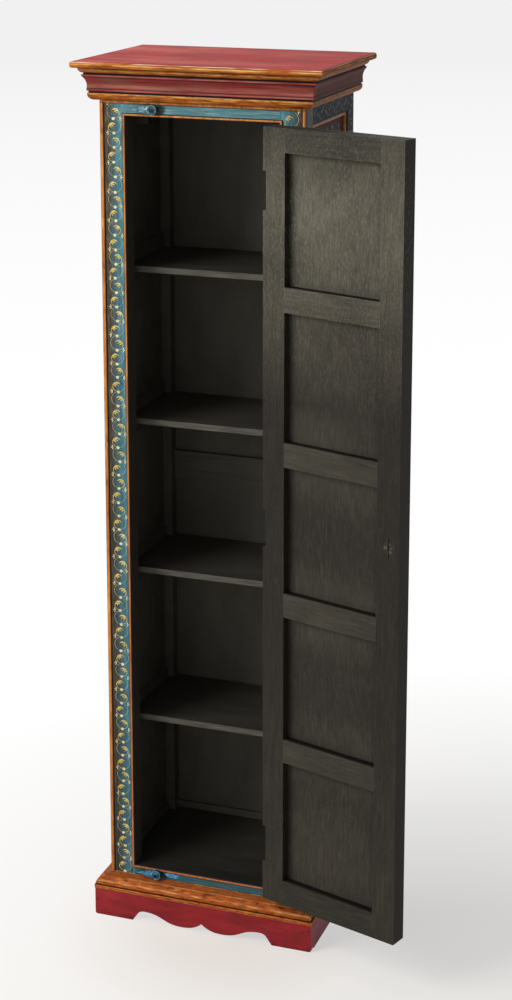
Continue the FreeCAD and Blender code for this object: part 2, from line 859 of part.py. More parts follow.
def make_hinges():
    """Three butt hinges: leaves on post and door, pins and screws."""
    barrel = pin_radius + pin_clearance + barrel_wall
    knuckle = hinge_height / knuckle_count
    frame_leaves = []
    door_leaves = []
    pins = []
    for low, high in hinge_spans:
        bore = rod(Vector(pin_x, pin_y, low), Vector(pin_x, pin_y, high), pin_radius + pin_clearance)
        screw_heights = leaf_screw_heights((low, high))
        y_leaf = (front, front + leaf_width)
        y_web = (pin_y, front)
        middle = (low + knuckle + knuckle_gap, high - knuckle - knuckle_gap)

        pieces = [box((frame_leaf_face, opening_half), y_leaf, (low, high))]
        for span in ((low, low + knuckle), (high - knuckle, high)):
            pieces.append(rod(Vector(pin_x, pin_y, span[0]), Vector(pin_x, pin_y, span[1]), barrel))
            pieces.append(box((frame_leaf_face, pin_x + barrel), y_web, span))
            pieces.append(box((frame_leaf_face, pin_x + barrel), (front, front + leaf_thickness), span))
        seats = [Vector(frame_leaf_face, leaf_screw_y, height) for height in screw_heights]
        holes = [screw_hole(seat, Vector(1, 0, 0)) for seat in seats]
        frame_leaves.append(minus(joined(pieces), holes + [bore]))

        pieces = [box((gain_floor, door_leaf_face), y_leaf, (low, high))]
        pieces.append(rod(Vector(pin_x, pin_y, middle[0]), Vector(pin_x, pin_y, middle[1]), barrel))
        pieces.append(box((pin_x - barrel, door_leaf_face), y_web, middle))
        pieces.append(box((pin_x - barrel, door_leaf_face), (front, front + leaf_thickness), middle))
        seats = [Vector(door_leaf_face, leaf_screw_y, height) for height in screw_heights]
        holes = [screw_hole(seat, Vector(-1, 0, 0)) for seat in seats]
        door_leaves.append(minus(joined(pieces), holes + [bore]))

        top = Vector(pin_x, pin_y, high)
        pin = rod(Vector(pin_x, pin_y, low), top, pin_radius)
        head = rod(top, top + Vector(0, 0, pin_head_height), barrel)
        pins.append(joined([pin, head]))
    save("hinge_frame_leaves", frame_leaves)
    save("hinge_door_leaves", opened(door_leaves))
    save("hinge_pins", pins)
    save("hinge_frame_screws", [screw_solid(seat, Vector(1, 0, 0)) for seat in frame_screw_seats])
    save("hinge_door_screws", opened([screw_solid(seat, Vector(-1, 0, 0)) for seat in door_screw_seats]))


def turn_button():
    """A carved rosette with a leaf-shaped tail that points to -X, its back at zero height."""
    disc = Part.makeCylinder(button_radius, button_height)
    half = button_root_width / 2
    leaf_edges = [(-button_tail, 0, button_leaf_swell), (0, -half, button_leaf_swell)]
    tail = drawn_face(flat, (0, half), leaf_edges)
    leaf = tail.extrude(Vector(0, 0, button_leaf_height))
    boss_length = button_back - turning_clearance
    boss = Part.makeCylinder(button_boss_radius, boss_length, Vector(0, 0, -boss_length))
    button = joined([disc, leaf, boss])
    ring_outer = button_radius - button_ring_width
    ring_top = Vector(0, 0, button_height - button_ring_depth)
    ring = Part.makeCylinder(ring_outer, button_ring_depth, ring_top)
    ring = ring.cut(Part.makeCylinder(ring_outer - button_ring_width, button_ring_depth, ring_top))
    bore_start = Vector(0, 0, -button_front)
    bore = Part.makeCylinder(pivot_radius + pivot_clearance, 2 * button_front, bore_start)
    return minus(button, [ring, bore])


def make_turn_buttons():
    """The two turn-buttons that hold the door shut, and the screws on which they turn."""
    screws = []
    outward = Vector(0, -1, 0)
    for name, pivot in (("top_turn_button", top_pivot), ("bottom_turn_button", bottom_pivot)):
        button = turn_button()
        button.Placement = Placement(pivot + outward * button_back, on_front)
        save(name, [button])
        seat = pivot + outward * (button_front + turning_clearance)
        shank = rod(seat, pivot + outward * (button_front - pivot_length), pivot_radius)
        head = rod(seat + outward * pivot_head_height, seat, pivot_head_radius)
        screws.append(joined([shank, head]))
    save("turn_button_screws", screws)


os.makedirs("parts", exist_ok=True)
make_posts()
make_face_frame()
make_sides()
make_back()
make_inside()
make_crown()
make_plinth()
make_door()
make_hinges()
make_turn_buttons()
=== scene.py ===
import json
import math
import random

import bmesh
import bpy
from mathutils import Matrix, Vector


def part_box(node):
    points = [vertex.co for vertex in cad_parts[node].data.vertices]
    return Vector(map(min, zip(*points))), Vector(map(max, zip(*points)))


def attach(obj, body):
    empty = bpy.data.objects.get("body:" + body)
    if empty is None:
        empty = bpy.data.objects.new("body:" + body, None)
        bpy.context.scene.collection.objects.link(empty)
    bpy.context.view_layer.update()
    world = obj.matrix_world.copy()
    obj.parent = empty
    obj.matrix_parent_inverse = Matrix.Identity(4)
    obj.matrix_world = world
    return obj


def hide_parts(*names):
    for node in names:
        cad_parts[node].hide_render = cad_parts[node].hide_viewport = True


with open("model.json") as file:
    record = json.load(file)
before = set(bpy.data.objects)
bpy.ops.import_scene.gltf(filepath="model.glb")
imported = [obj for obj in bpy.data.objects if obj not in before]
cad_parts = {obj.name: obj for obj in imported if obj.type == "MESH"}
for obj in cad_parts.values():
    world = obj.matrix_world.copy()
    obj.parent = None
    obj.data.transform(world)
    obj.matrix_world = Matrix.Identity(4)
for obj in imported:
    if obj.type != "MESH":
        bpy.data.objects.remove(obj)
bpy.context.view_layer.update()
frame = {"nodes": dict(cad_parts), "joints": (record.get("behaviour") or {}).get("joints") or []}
nodes = frame["nodes"]
joints = {joint["name"]: joint for joint in frame["joints"]}
mm = 0.001

# One seeded hand draws all that is set down unevenly
hand = random.Random(7)

# Faces and levels of the cabinet, in metres, taken from the frame
opening_half, half_width = [corner.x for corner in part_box("right_front_post")]
front_face, frame_back = [corner.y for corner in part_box("right_front_post")]
back_post_front, back_face = [corner.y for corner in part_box("right_back_post")]
slab_bottom, slab_top = [corner.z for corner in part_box("top_board")]
cove_bottom, cove_top = [corner.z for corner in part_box("crown_cove")]
base_bottom, base_top = [corner.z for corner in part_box("base_moulding")]
crown_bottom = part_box("crown_lower_ovolo")[0].z
bottom_rail_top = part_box("bottom_front_rail")[1].z
top_rail_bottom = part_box("top_front_rail")[0].z
inner_strip_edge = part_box("opening_strips")[1].x
panel_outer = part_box("right_side_panels")[1].x
outer_strip_width = 8 * mm
top_strip_width = 6 * mm

# How far the paint of a face runs on to the arris beside it, and how soft its edge is there
face_depth = 0.5 * mm
face_blur = 0.4 * mm

# Where paint changes with height: a level and how much height the change takes, below 0 where it comes
# on downwards
browned_up = (1.1, 0.9)
soiled_down = (0.9, -1.4)
rail_soiled_down = (0.5, -0.2)
strip_redder_down = (0.75, -0.9)
plinth_soiled_down = (7 * mm, -14 * mm)
# The door's wash is painted lighter low down as well: painted light
door_sheen_low = (0.45, -0.5)

# Side panels and the rails between them, five panels a side
panels_a_side = 5
side_rail_height = 49 * mm
side_panel_low, side_panel_top = [corner.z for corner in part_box("right_side_beads")]
side_panel_step = (side_panel_top - side_panel_low + side_rail_height) / panels_a_side

# The door: its pin, how far it stands open, its faces with the door shut, and how far the painted sheen
# reaches about its top panel
pin = Vector(joints["door_hinge"]["pos_m"])
open_angle = -math.radians(joints["door_hinge"]["range_deg"][0])
swing = Matrix.Translation(pin) @ Matrix.Rotation(open_angle, 4, "Z") @ Matrix.Translation(-pin)
shut_shift = swing.inverted().to_translation()
door_gap = 1.5 * mm
door_stile = 50 * mm
door_rail = 49 * mm
door_panel_recess = 10 * mm
door_thickness = 36 * mm
pull_lift = 18 * mm
door_half = opening_half - door_gap
door_panel_face = front_face + door_panel_recess
door_bottom, door_top = [corner.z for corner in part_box("door_free_stile")]
door_panel_low, door_panel_top = [corner.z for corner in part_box("door_outer_beads")]
door_panel_step = (door_panel_top - door_panel_low + door_rail) / panels_a_side
top_panel_level = door_panel_top - (door_panel_step - door_rail) / 2
pull_level = (door_bottom + door_top) / 2 + pull_lift
pin_mark = Vector((door_stile / 2 - door_half, front_face + door_thickness, pull_level))
sheen_half_height = 0.19
sheen_blur = 0.34

# The paints of a drawing, in the order of its material slots
leaf_paint, stem_paint, dot_paint = range(3)

# The painted vine, in millimetres: a unit runs from one dot down to the next, the strokes lie at their
# lift over the wood, and each band keeps clear of what it ends at
vine_pitch = 28.9
dot_radius = 3.2
stem_radius = 14.2
leaf_radius = 8.9
stem_lift = 0.18
leaf_lift = 0.26
dot_lift = 0.36
paint_depth = 0.7
vine_below_strip = 1.1
vine_over_base = 3
vine_aside = 2
side_vine_margin = 2
side_vine_scale = 0.9
door_vine_margin = 9

# The sprigs of a panel, and the bare margin round them in millimetres over both sides
sprig_columns = 5
sprig_rows = 3
sprig_margin = 24

# The carved turn-buttons, in millimetres: how far their back stands off the frame, the level up to which
# their cuts and sides are black, dark paint with painted shade, and the leaf with its veins, counted along
# it, and its rib, a share of its width
button_back = 5.0
button_cut_level = 4.9
button_leaf_height = 7.0
button_leaf_start = 6.0
button_leaf_end = 44.0
button_leaf_half = 10.4
button_leaf_body = 4.4
button_leaf_crown = 2.2
vein_count = 4.5
vein_slant = 0.9
vein_depth = 1.8
rib_height = 0.5
rib_half = 0.16

# The camera, solved from the corners of the cabinet: focal length and axis in pixels of the 512 by 1000
# frame, place in metres, angles in radians
frame_height = 1000
camera_focus = 2059.3
camera_axis = 280
camera_place = (1.4079, -3.9588, 2.2108)
camera_yaw = 0.3402
camera_pitch = 0.2090

# The surround's light, from its bright side to its dim side, which way the dim side lies, and where
# towards it the change starts and ends, as cosines
ambient = (0.5, 0.02)
dim_side = (0.8, 0.6, 0.0)
dim_span = (-1.0, 0.8)

# The floor, in metres: the middle and reach of the shade on it, how far it is lifted to white there, how
# it dims far off, and the middle and reach of the warm light off the plinth
shade_middle = (0.7, -0.5, 0.0)
shade_reach = (0.5, 1.8)
floor_lift = 0.55
far_reach = (5.0, 18.0)
far_white = 0.88
warm_middle = (0.0, -0.3, 0.0)
warm_reach = (0.34, 0.1)
floor_reach = 45.0

# The lamps: name, place, aim, size in metres and power in watts
lamps = (
    ("key_softbox", (-2.4, -2.8, 3.2), (0.0, -0.2, 1.0), 2.2, 150),
    ("top_softbox", (-0.4, -0.4, 4.2), (0.0, -0.2, 1.0), 2.0, 24),
    ("front_fill", (-0.6, -4.6, 1.6), (0.1, -0.2, 0.9), 2.5, 20),
)


def colour(code):
    """An sRGB hex colour as linear red, green, blue and alpha."""
    parts = [int(code[index:index + 2], 16) / 255 for index in (1, 3, 5)]
    linear = [part / 12.92 if part <= 0.04045 else ((part + 0.055) / 1.055) ** 2.4 for part in parts]
    return (*linear, 1.0)


def add(tree, kind, inputs=None, **settings):
    """One shader node with its settings; each input is a value or the socket it is linked to."""
    node = tree.nodes.new("ShaderNode" + kind)
    for name, value in settings.items():
        setattr(node, name, value)
    for name, value in (inputs or {}).items():
        if isinstance(value, bpy.types.NodeSocket):
            tree.links.new(value, node.inputs[name])
        else:
            node.inputs[name].default_value = value
    return node


def new_finish(name, on_door=False):
    """A new material, its nodes, and the spot where a point of the surface lies, in metres; on the door
    that is where it lies with the door shut."""
    material = bpy.data.materials.new(name)
    material.use_nodes = True
    tree = material.node_tree
    tree.nodes.clear()
    spot = add(tree, "TexCoord").outputs["Object"]
    if on_door:
        turn = {"Vector": spot, "Location": shut_shift, "Rotation": (0, 0, -open_angle)}
        spot = add(tree, "Mapping", turn).outputs["Vector"]
    return material, tree, spot


def brushwork(tree, spot, shades, stroke_mm, patch_mm):
    """Paint laid on in strokes of a size along X, Y and Z: its colour, and how thick it lies."""
    stroke = add(tree, "Mapping", {"Vector": spot, "Scale": [1000 / size for size in stroke_mm]})
    strokes = add(tree, "TexNoise", {"Vector": stroke.outputs[0], "Scale": 1, "Detail": 5,
                                     "Roughness": 0.62})
    patches = add(tree, "TexNoise", {"Vector": spot, "Scale": 1000 / patch_mm, "Detail": 2})
    thick = strokes.outputs["Fac"]
    lay = add(tree, "MapRange", {"Value": thick, "From Min": 0.32, "From Max": 0.54})
    thin = add(tree, "MapRange", {"Value": thick, "From Min": 0.5, "From Max": 0.74})
    worn = add(tree, "MapRange", {"Value": patches.outputs["Fac"], "From Min": 0.38, "From Max": 0.62})
    faded = add(tree, "Math", {0: thin.outputs[0], 1: worn.outputs[0]}, operation="MULTIPLY")
    dark, base, light = [colour(code) for code in shades]
    body = add(tree, "Mix", {0: lay.outputs[0], 6: dark, 7: base}, data_type="RGBA")
    paint = add(tree, "Mix", {0: faded.outputs[0], 6: body.outputs[2], 7: light}, data_type="RGBA")
    return paint.outputs[2], thick


def coats(tree, ground, *later):
    """Coats over a ground: each is how far it covers, 0 to 1, and its colour, a socket or a hex code."""
    for cover, paint in later:
        paint = colour(paint) if isinstance(paint, str) else paint
        ground = add(tree, "Mix", {0: cover, 6: ground, 7: paint}, data_type="RGBA").outputs[2]
    return ground


def broken_by(tree, spot, share, patch_mm, bare):
    """A share broken up as wear is, by patches of a size along X, Y and Z: bare gives where the noise
    leaves none of it and where it leaves all."""
    place = add(tree, "Mapping", {"Vector": spot, "Scale": [1000 / size for size in patch_mm]})
    patches = add(tree, "TexNoise", {"Vector": place.outputs[0], "Scale": 1, "Detail": 4})
    span = {"Value": patches.outputs["Fac"], "From Min": bare[0], "From Max": bare[1]}
    left = add(tree, "MapRange", span).outputs[0]
    return add(tree, "Math", {0: share, 1: left}, operation="MULTIPLY").outputs[0]


def rubbed_edges(tree, spot, width_mm, patch_mm, bare=(0.42, 0.6)):
    """How far an arris is rubbed through: 1 where bare, 0 away from it, broken up as wear is."""
    rounded = add(tree, "Bevel", {"Radius": width_mm * mm}, samples=6)
    plain = add(tree, "NewGeometry").outputs["Normal"]
    turn = add(tree, "VectorMath", {0: rounded.outputs[0], 1: plain}, operation="DOT_PRODUCT")
    near = add(tree, "MapRange", {"Value": turn.outputs["Value"], "From Min": 0.97, "From Max": 0.8})
    return broken_by(tree, spot, near.outputs[0], patch_mm, bare)


def past_edge(tree, spot, axis, edge, blur, both_sides=False, most=1.0):
    """The most where a point lies past an edge on an axis, 0 before it, blurred over a width; a width
    below 0 turns that round."""
    place = add(tree, "SeparateXYZ", {0: spot}).outputs[axis]
    if both_sides:
        place = add(tree, "Math", {0: place}, operation="ABSOLUTE").outputs[0]
    span = {"Value": place, "From Min": edge - blur / 2, "From Max": edge + blur / 2, "To Max": most}
    return add(tree, "MapRange", span).outputs[0]


def lines_along(tree, spot, lines, blur, axis="Z", both_sides=False, most=1.0):
    """Straight lines, each a place on an axis and a half width: the most on a line, 0 past its edge."""
    place = add(tree, "SeparateXYZ", {0: spot}).outputs[axis]
    if both_sides:
        place = add(tree, "Math", {0: place}, operation="ABSOLUTE").outputs[0]
    total = 0.0
    for level, half in lines:
        away = add(tree, "Math", {0: place, 1: level}, operation="SUBTRACT").outputs[0]
        away = add(tree, "Math", {0: away}, operation="ABSOLUTE").outputs[0]
        edge = {"Value": away, "From Min": half + blur / 2, "From Max": half - blur / 2, "To Max": most}
        line = add(tree, "MapRange", edge).outputs[0]
        total = add(tree, "Math", {0: total, 1: line}, operation="MAXIMUM").outputs[0]
    return total


def around(tree, spot, middle, reach, shares=(0.0, 1.0)):
    """A round patch about a point: its share goes from one to the other between two distances."""
    away = add(tree, "VectorMath", {0: spot, 1: middle}, operation="DISTANCE").outputs["Value"]
    span = {"Value": away, "From Min": reach[0], "From Max": reach[1]}
    span.update({"To Min": shares[0], "To Max": shares[1]})
    return add(tree, "MapRange", span).outputs[0]


def surface(material, paint, thick, relief_mm, rough, gloss=0.3, metal=0.0):
    """The finished material: its colour, the relief of the strokes, and a gloss that varies with them."""
    tree = material.node_tree
    bump = add(tree, "Bump", {"Height": thick, "Distance": relief_mm * mm, "Strength": 1.0})
    sheen = add(tree, "MapRange", {"Value": thick, "From Min": 0.3, "From Max": 0.7,
                                   "To Min": rough[0], "To Max": rough[1]})
    inputs = {"Base Color": paint, "Roughness": sheen.outputs[0], "Normal": bump.outputs[0]}
    inputs.update({"Specular IOR Level": gloss, "Metallic": metal})
    shader = add(tree, "BsdfPrincipled", inputs)
    add(tree, "OutputMaterial", {"Surface": shader.outputs[0]})
    return material


# Shades of each paint: in the hollows of the strokes, the body of it, and where it is rubbed thin
red_shades = ("#7E1C1B", "#A02925", "#BA544A")
plinth_shades = ("#751A20", "#8C2027", "#A03032")
cove_shades = ("#5C1F1F", "#7C302E", "#9E5A4E")
glaze_shades = ("#5A290C", "#A3591D", "#D09044")
base_glaze_shades = ("#602A0E", "#AE5621", "#D58E4C")
strip_shades = ("#8F4E20", "#BE7735", "#DEA562")
teal_shades = ("#335761", "#557E84", "#8FB2AE")
post_teal_shades = ("#2A5460", "#457B87", "#86AFAF")
ground_shades = ("#23221D", "#38352C", "#5C5645")
navy_shades = ("#161923", "#20242F", "#3A3E46")
maroon_shades = ("#2A1517", "#3B1E20", "#543632")
# The inside's black stain in lighter and darker copies, each set to the light its boards get: the lighter
# copies are painted light
stain_shades = ("#32312D", "#383731", "#403F38")
stain_lifted_shades = ("#4A4741", "#514E47", "#59564E")
shelf_stain_shades = ("#272521", "#2C2A26", "#34322C")
shelf_stain_lifted_shades = ("#37352F", "#3D3B35", "#45433C")
floor_stain_shades = ("#1C1B18", "#201F1C", "#26251F")
door_shades = ("#1F1C19", "#26231F", "#312D28")
# The door's wash as it shows in the painted sheen: a lighter copy of it
door_sheen_shades = ("#4C493F", "#58554A", "#6C6859")
blue_shades = ("#163F56", "#3480A8", "#86C4E0")
dusty_blue_shades = ("#1C424E", "#4C8497", "#B6D8DC")


def slab_finish():
    """Red milk paint on the top board, brushed along it and painted paler to the left as painted light,
    with a glazed nose.
    """
    material, tree, spot = new_finish("red_milk_paint_top")
    red, thick = brushwork(tree, spot, red_shades, (120, 34, 9), 120)
    lit_left_width = 0.8
    # Paler to the left, where the light falls: painted light, broken up in patches
    lit_left = past_edge(tree, spot, "X", 0.0, -lit_left_width)
    faded = broken_by(tree, spot, lit_left, (300, 110, 50), (0.46, 0.7))
    deep = broken_by(tree, spot, 0.6, (110, 60, 30), (0.46, 0.7))
    red = coats(tree, red, (faded, "#C86A61"), (deep, "#7C1C1A"))
    glaze, _ = brushwork(tree, spot, glaze_shades, (60, 60, 3), 40)
    top = past_edge(tree, spot, "Z", slab_top - 1.2 * mm, 1.0 * mm)
    groove = lines_along(tree, spot, [(slab_bottom, 1.2 * mm)], 1.2 * mm)
    # The nose's pale crest and arris: wear with a painted highlight
    crest = lines_along(tree, spot, [(slab_top - 6 * mm, 1.2 * mm)], 2.0 * mm)
    crest = broken_by(tree, spot, crest, (45, 45, 8), (0.38, 0.66))
    arris = lines_along(tree, spot, [(slab_top - 1.7 * mm, 0.5 * mm)], 0.6 * mm)
    arris = broken_by(tree, spot, arris, (70, 70, 20), (0.4, 0.55))
    paint = coats(tree, glaze, (groove, "#2A1308"), (crest, "#DCB06A"), (top, red), (arris, "#D2C6AE"))
    return surface(material, paint, thick, 0.12, (0.5, 0.64), gloss=0.08)


def cove_finish():
    """Red milk paint in the hollow of the crown: pale fillets with dark lines beside them, dark paint with
    painted shade, rubbed low in the hollow, grimed in patches and given painted shade on the two returns."""
    material, tree, spot = new_finish("cove_red_milk_paint")
    red, thick = brushwork(tree, spot, cove_shades, (150, 150, 5), 60)
    low = lines_along(tree, spot, [(cove_bottom + 10 * mm, 3 * mm)], 5 * mm)
    low = broken_by(tree, spot, low, (90, 90, 6), (0.28, 0.72))
    grime = broken_by(tree, spot, 0.55, (140, 140, 18), (0.48, 0.66))
    fillets = [(cove_top - 1.7 * mm, 1.2 * mm), (cove_bottom + 2.2 * mm, 1.3 * mm)]
    fillets = broken_by(tree, spot, lines_along(tree, spot, fillets, 0.8 * mm), (80, 80, 30), (0.36, 0.7))
    quirks = [(cove_bottom + 5 * mm, 0.6 * mm), (cove_top - 4.3 * mm, 0.6 * mm)]
    dark = lines_along(tree, spot, quirks, 1.0 * mm)
    # Painted shade on the two returns, turned from the light
    aside = past_edge(tree, spot, "X", half_width, 1.0 * mm, both_sides=True, most=0.6)
    behind = past_edge(tree, spot, "Y", front_face, 1.0 * mm)
    shaded_returns = add(tree, "Math", {0: aside, 1: behind}, operation="MULTIPLY").outputs[0]
    paint = coats(tree, red, (grime, "#6C4C3C"), (low, "#AA6C5E"), (fillets, "#AC6C60"),
                  (dark, "#2A0D0E"), (shaded_returns, "#3A1C1B"))
    return surface(material, paint, thick, 0.1, (0.5, 0.64), gloss=0.06)


def plinth_finish():
    """Red milk paint on the plinth: blotched, soiled at the floor, rubbed to the timber on its edges."""
    material, tree, spot = new_finish("plinth_red_milk_paint")
    red, thick = brushwork(tree, spot, plinth_shades, (90, 90, 22), 60)
    rubbed = rubbed_edges(tree, spot, 1.4, (9, 9, 9), (0.56, 0.66))
    soiled = past_edge(tree, spot, "Z", *plinth_soiled_down)
    soiled = broken_by(tree, spot, soiled, (22, 22, 22), (0.35, 0.7))
    knocks = broken_by(tree, spot, 0.8, (7, 7, 5), (0.7, 0.74))
    paint = coats(tree, red, (soiled, "#4A1216"), (knocks, "#3A1013"), (rubbed, "#B4674A"))
    return surface(material, paint, thick, 0.1, (0.42, 0.56), gloss=0.2)


def moulding_glaze(name, shades, stroke_mm, hollows, crests, dull_above):
    """Amber glaze over pale timber: grain along it, black in its quirks, glaze settled there with painted
    shade, rubbed pale on its crests with a painted highlight, and dull on top."""
    material, tree, spot = new_finish(name)
    glaze, thick = brushwork(tree, spot, shades, stroke_mm, 30)
    dark = lines_along(tree, spot, hollows, 0.6 * mm)
    pale = broken_by(tree, spot, lines_along(tree, spot, crests, 2.4 * mm), (26, 26, 5), (0.36, 0.7))
    flecks = broken_by(tree, spot, 0.75, (14, 14, 2.2), (0.58, 0.7))
    dull = broken_by(tree, spot, past_edge(tree, spot, "Z", dull_above, 1.0 * mm), (50, 50, 4), (0.1, 0.6))
    rubbed = rubbed_edges(tree, spot, 1.2, (25, 25, 6), (0.5, 0.62))
    paint = coats(tree, glaze, (dull, "#7C4119"), (pale, "#DCAE68"), (flecks, "#4A210B"),
                  (rubbed, "#DDBA80"), (dark, "#170A04"))
    return surface(material, paint, thick, 0.15, (0.46, 0.62), gloss=0.1)


def strip_glaze(name, stroke_mm, on_door=False):
    """Orange glaze on a thin planted strip, a little worn along its crest."""
    material, tree, spot = new_finish(name, on_door)
    glaze, thick = brushwork(tree, spot, strip_shades, stroke_mm, 40)
    rubbed = rubbed_edges(tree, spot, 1.0, (16, 16, 16), (0.52, 0.66))
    return surface(material, coats(tree, glaze, (rubbed, "#552A10")), thick, 0.1, (0.4, 0.56), gloss=0.2)


def border_strip_glaze():
    """Orange glaze on the strips at the corners and under the crown, dark in the cracks beside them, dark
    glaze with painted shade.
    """
    material, tree, spot = new_finish("border_orange_glaze")
    glaze, thick = brushwork(tree, spot, strip_shades, (6, 6, 60), 40)
    upright = [(half_width - 0.3 * mm, 0.8 * mm), (half_width - outer_strip_width + 0.3 * mm, 0.9 * mm)]
    level = [(crown_bottom - top_strip_width + 0.3 * mm, 0.5 * mm)]
    cracks = lines_along(tree, spot, upright, 0.6 * mm, axis="X", both_sides=True)
    seams = lines_along(tree, spot, level, 0.6 * mm)
    worn = broken_by(tree, spot, 0.7, (8, 8, 30), (0.56, 0.68))
    paint = coats(tree, glaze, (worn, "#7A3F17"), (cracks, "#2E1508"), (seams, "#2E1508"))
    return surface(material, paint, thick, 0.1, (0.4, 0.56), gloss=0.2)


def opening_strip_glaze():
    """Orange glaze along the middle of the opening's strips, redder low down, dark on both edges."""
    material, tree, spot = new_finish("opening_orange_glaze")
    glaze, thick = brushwork(tree, spot, strip_shades, (6, 6, 60), 40)
    redder = past_edge(tree, spot, "Z", *strip_redder_down, most=0.45)
    across, _, level = add(tree, "SeparateXYZ", {0: spot}).outputs
    out = add(tree, "Math", {0: across}, operation="ABSOLUTE").outputs[0]
    out = add(tree, "Math", {0: out, 1: opening_half}, operation="SUBTRACT").outputs[0]
    under = add(tree, "Math", {0: bottom_rail_top, 1: level}, operation="SUBTRACT").outputs[0]
    over = add(tree, "Math", {0: level, 1: top_rail_bottom}, operation="SUBTRACT").outputs[0]
    for way in (under, over):
        out = add(tree, "Math", {0: out, 1: way}, operation="MAXIMUM").outputs[0]
    width = inner_strip_edge - opening_half
    inner_line = {"Value": out, "From Min": 1.2 * mm, "From Max": 0.7 * mm}
    outer_line = {"Value": out, "From Min": width - 1.6 * mm, "From Max": width - 1.1 * mm}
    within = add(tree, "MapRange", inner_line).outputs[0]
    beyond = add(tree, "MapRange", outer_line).outputs[0]
    paint = coats(tree, glaze, (redder, "#B4542A"), (within, "#2C160B"), (beyond, "#26393B"))
    return surface(material, paint, thick, 0.1, (0.4, 0.56), gloss=0.2)


def stain_inside(name, shades, back_lift_shades, stroke_mm, front_edge):
    """Black stain on the boards of the inside: a trace of grain, painted lighter towards the back where
    the shade is deepest, and painted light on a front edge."""
    material, tree, spot = new_finish(name)
    stain, thick = brushwork(tree, spot, shades, stroke_mm, 80)
    lifted_back, _ = brushwork(tree, spot, back_lift_shades, stroke_mm, 80)
    # Painted lighter towards the back, where the shade is deepest
    deep = past_edge(tree, spot, "Y", (front_face + back_face) / 2, back_face - front_face)
    # Painted light on the front edge, broken up in patches
    rubbed = past_edge(tree, spot, "Y", front_edge + face_depth, -face_blur)
    rubbed = broken_by(tree, spot, rubbed, (50, 50, 4), (0.1, 0.7))
    paint = coats(tree, stain, (deep, lifted_back), (rubbed, "#5C5A53"))
    return surface(material, paint, thick, 0.06, (0.55, 0.7), gloss=0.05)


def post_finish():
    """Corner posts: charcoal running into teal under the vine, navy outside, black stain within."""
    material, tree, spot = new_finish("vine_ground_milk_paint")
    teal, thick = brushwork(tree, spot, post_teal_shades, (5, 5, 60), 22)
    dark, _ = brushwork(tree, spot, ground_shades, (5, 5, 50), 18)
    navy, _ = brushwork(tree, spot, navy_shades, (8, 8, 90), 30)
    stain, _ = brushwork(tree, spot, stain_shades, (8, 8, 120), 60)
    wobble_mm = 22
    wobble = add(tree, "TexNoise", {"Vector": spot, "Scale": 1000 / wobble_mm, "Detail": 3}).outputs["Fac"]
    reach = 8 * mm
    shift = add(tree, "MapRange", {"Value": wobble, "To Min": -reach, "To Max": reach}).outputs[0]
    across = add(tree, "SeparateXYZ", {0: spot}).outputs["X"]
    across = add(tree, "Math", {0: across}, operation="ABSOLUTE").outputs[0]
    across = add(tree, "Math", {0: across, 1: shift}, operation="ADD").outputs[0]
    band = {"Value": across, "From Min": inner_strip_edge + 9 * mm, "From Max": half_width - 18 * mm}
    shaded = add(tree, "MapRange", band).outputs[0]
    # Dark lines beside the strips: dark glaze with painted shade
    outer_crack = [(half_width - outer_strip_width - 0.4 * mm, 0.7 * mm)]
    outer_crack = lines_along(tree, spot, outer_crack, 0.8 * mm, axis="X", both_sides=True)
    inner_crack = [(inner_strip_edge + 0.4 * mm, 0.7 * mm)]
    inner_crack = lines_along(tree, spot, inner_crack, 0.8 * mm, axis="X", both_sides=True)
    strip_top = past_edge(tree, spot, "Z", top_rail_bottom + inner_strip_edge - opening_half, -0.5 * mm)
    inner_crack = add(tree, "Math", {0: inner_crack, 1: strip_top}, operation="MULTIPLY").outputs[0]
    cracks = add(tree, "Math", {0: inner_crack, 1: outer_crack}, operation="MAXIMUM").outputs[0]
    browned = past_edge(tree, spot, "Z", *browned_up)
    browned = broken_by(tree, spot, browned, (6, 6, 16), (0.42, 0.95))
    dark = coats(tree, dark, (browned, "#6E6142"))
    soiled = past_edge(tree, spot, "Z", *soiled_down)
    soiled = broken_by(tree, spot, soiled, (12, 12, 60), (0.1, 0.7))
    behind = past_edge(tree, spot, "Y", front_face + face_depth, face_blur)
    outside = past_edge(tree, spot, "X", half_width - face_depth, face_blur, both_sides=True)
    ground = coats(tree, teal, (soiled, "#2B5560"), (shaded, dark), (cracks, "#14140F"))
    paint = coats(tree, ground, (behind, stain), (outside, navy))
    return surface(material, paint, thick, 0.12, (0.42, 0.6), gloss=0.2)


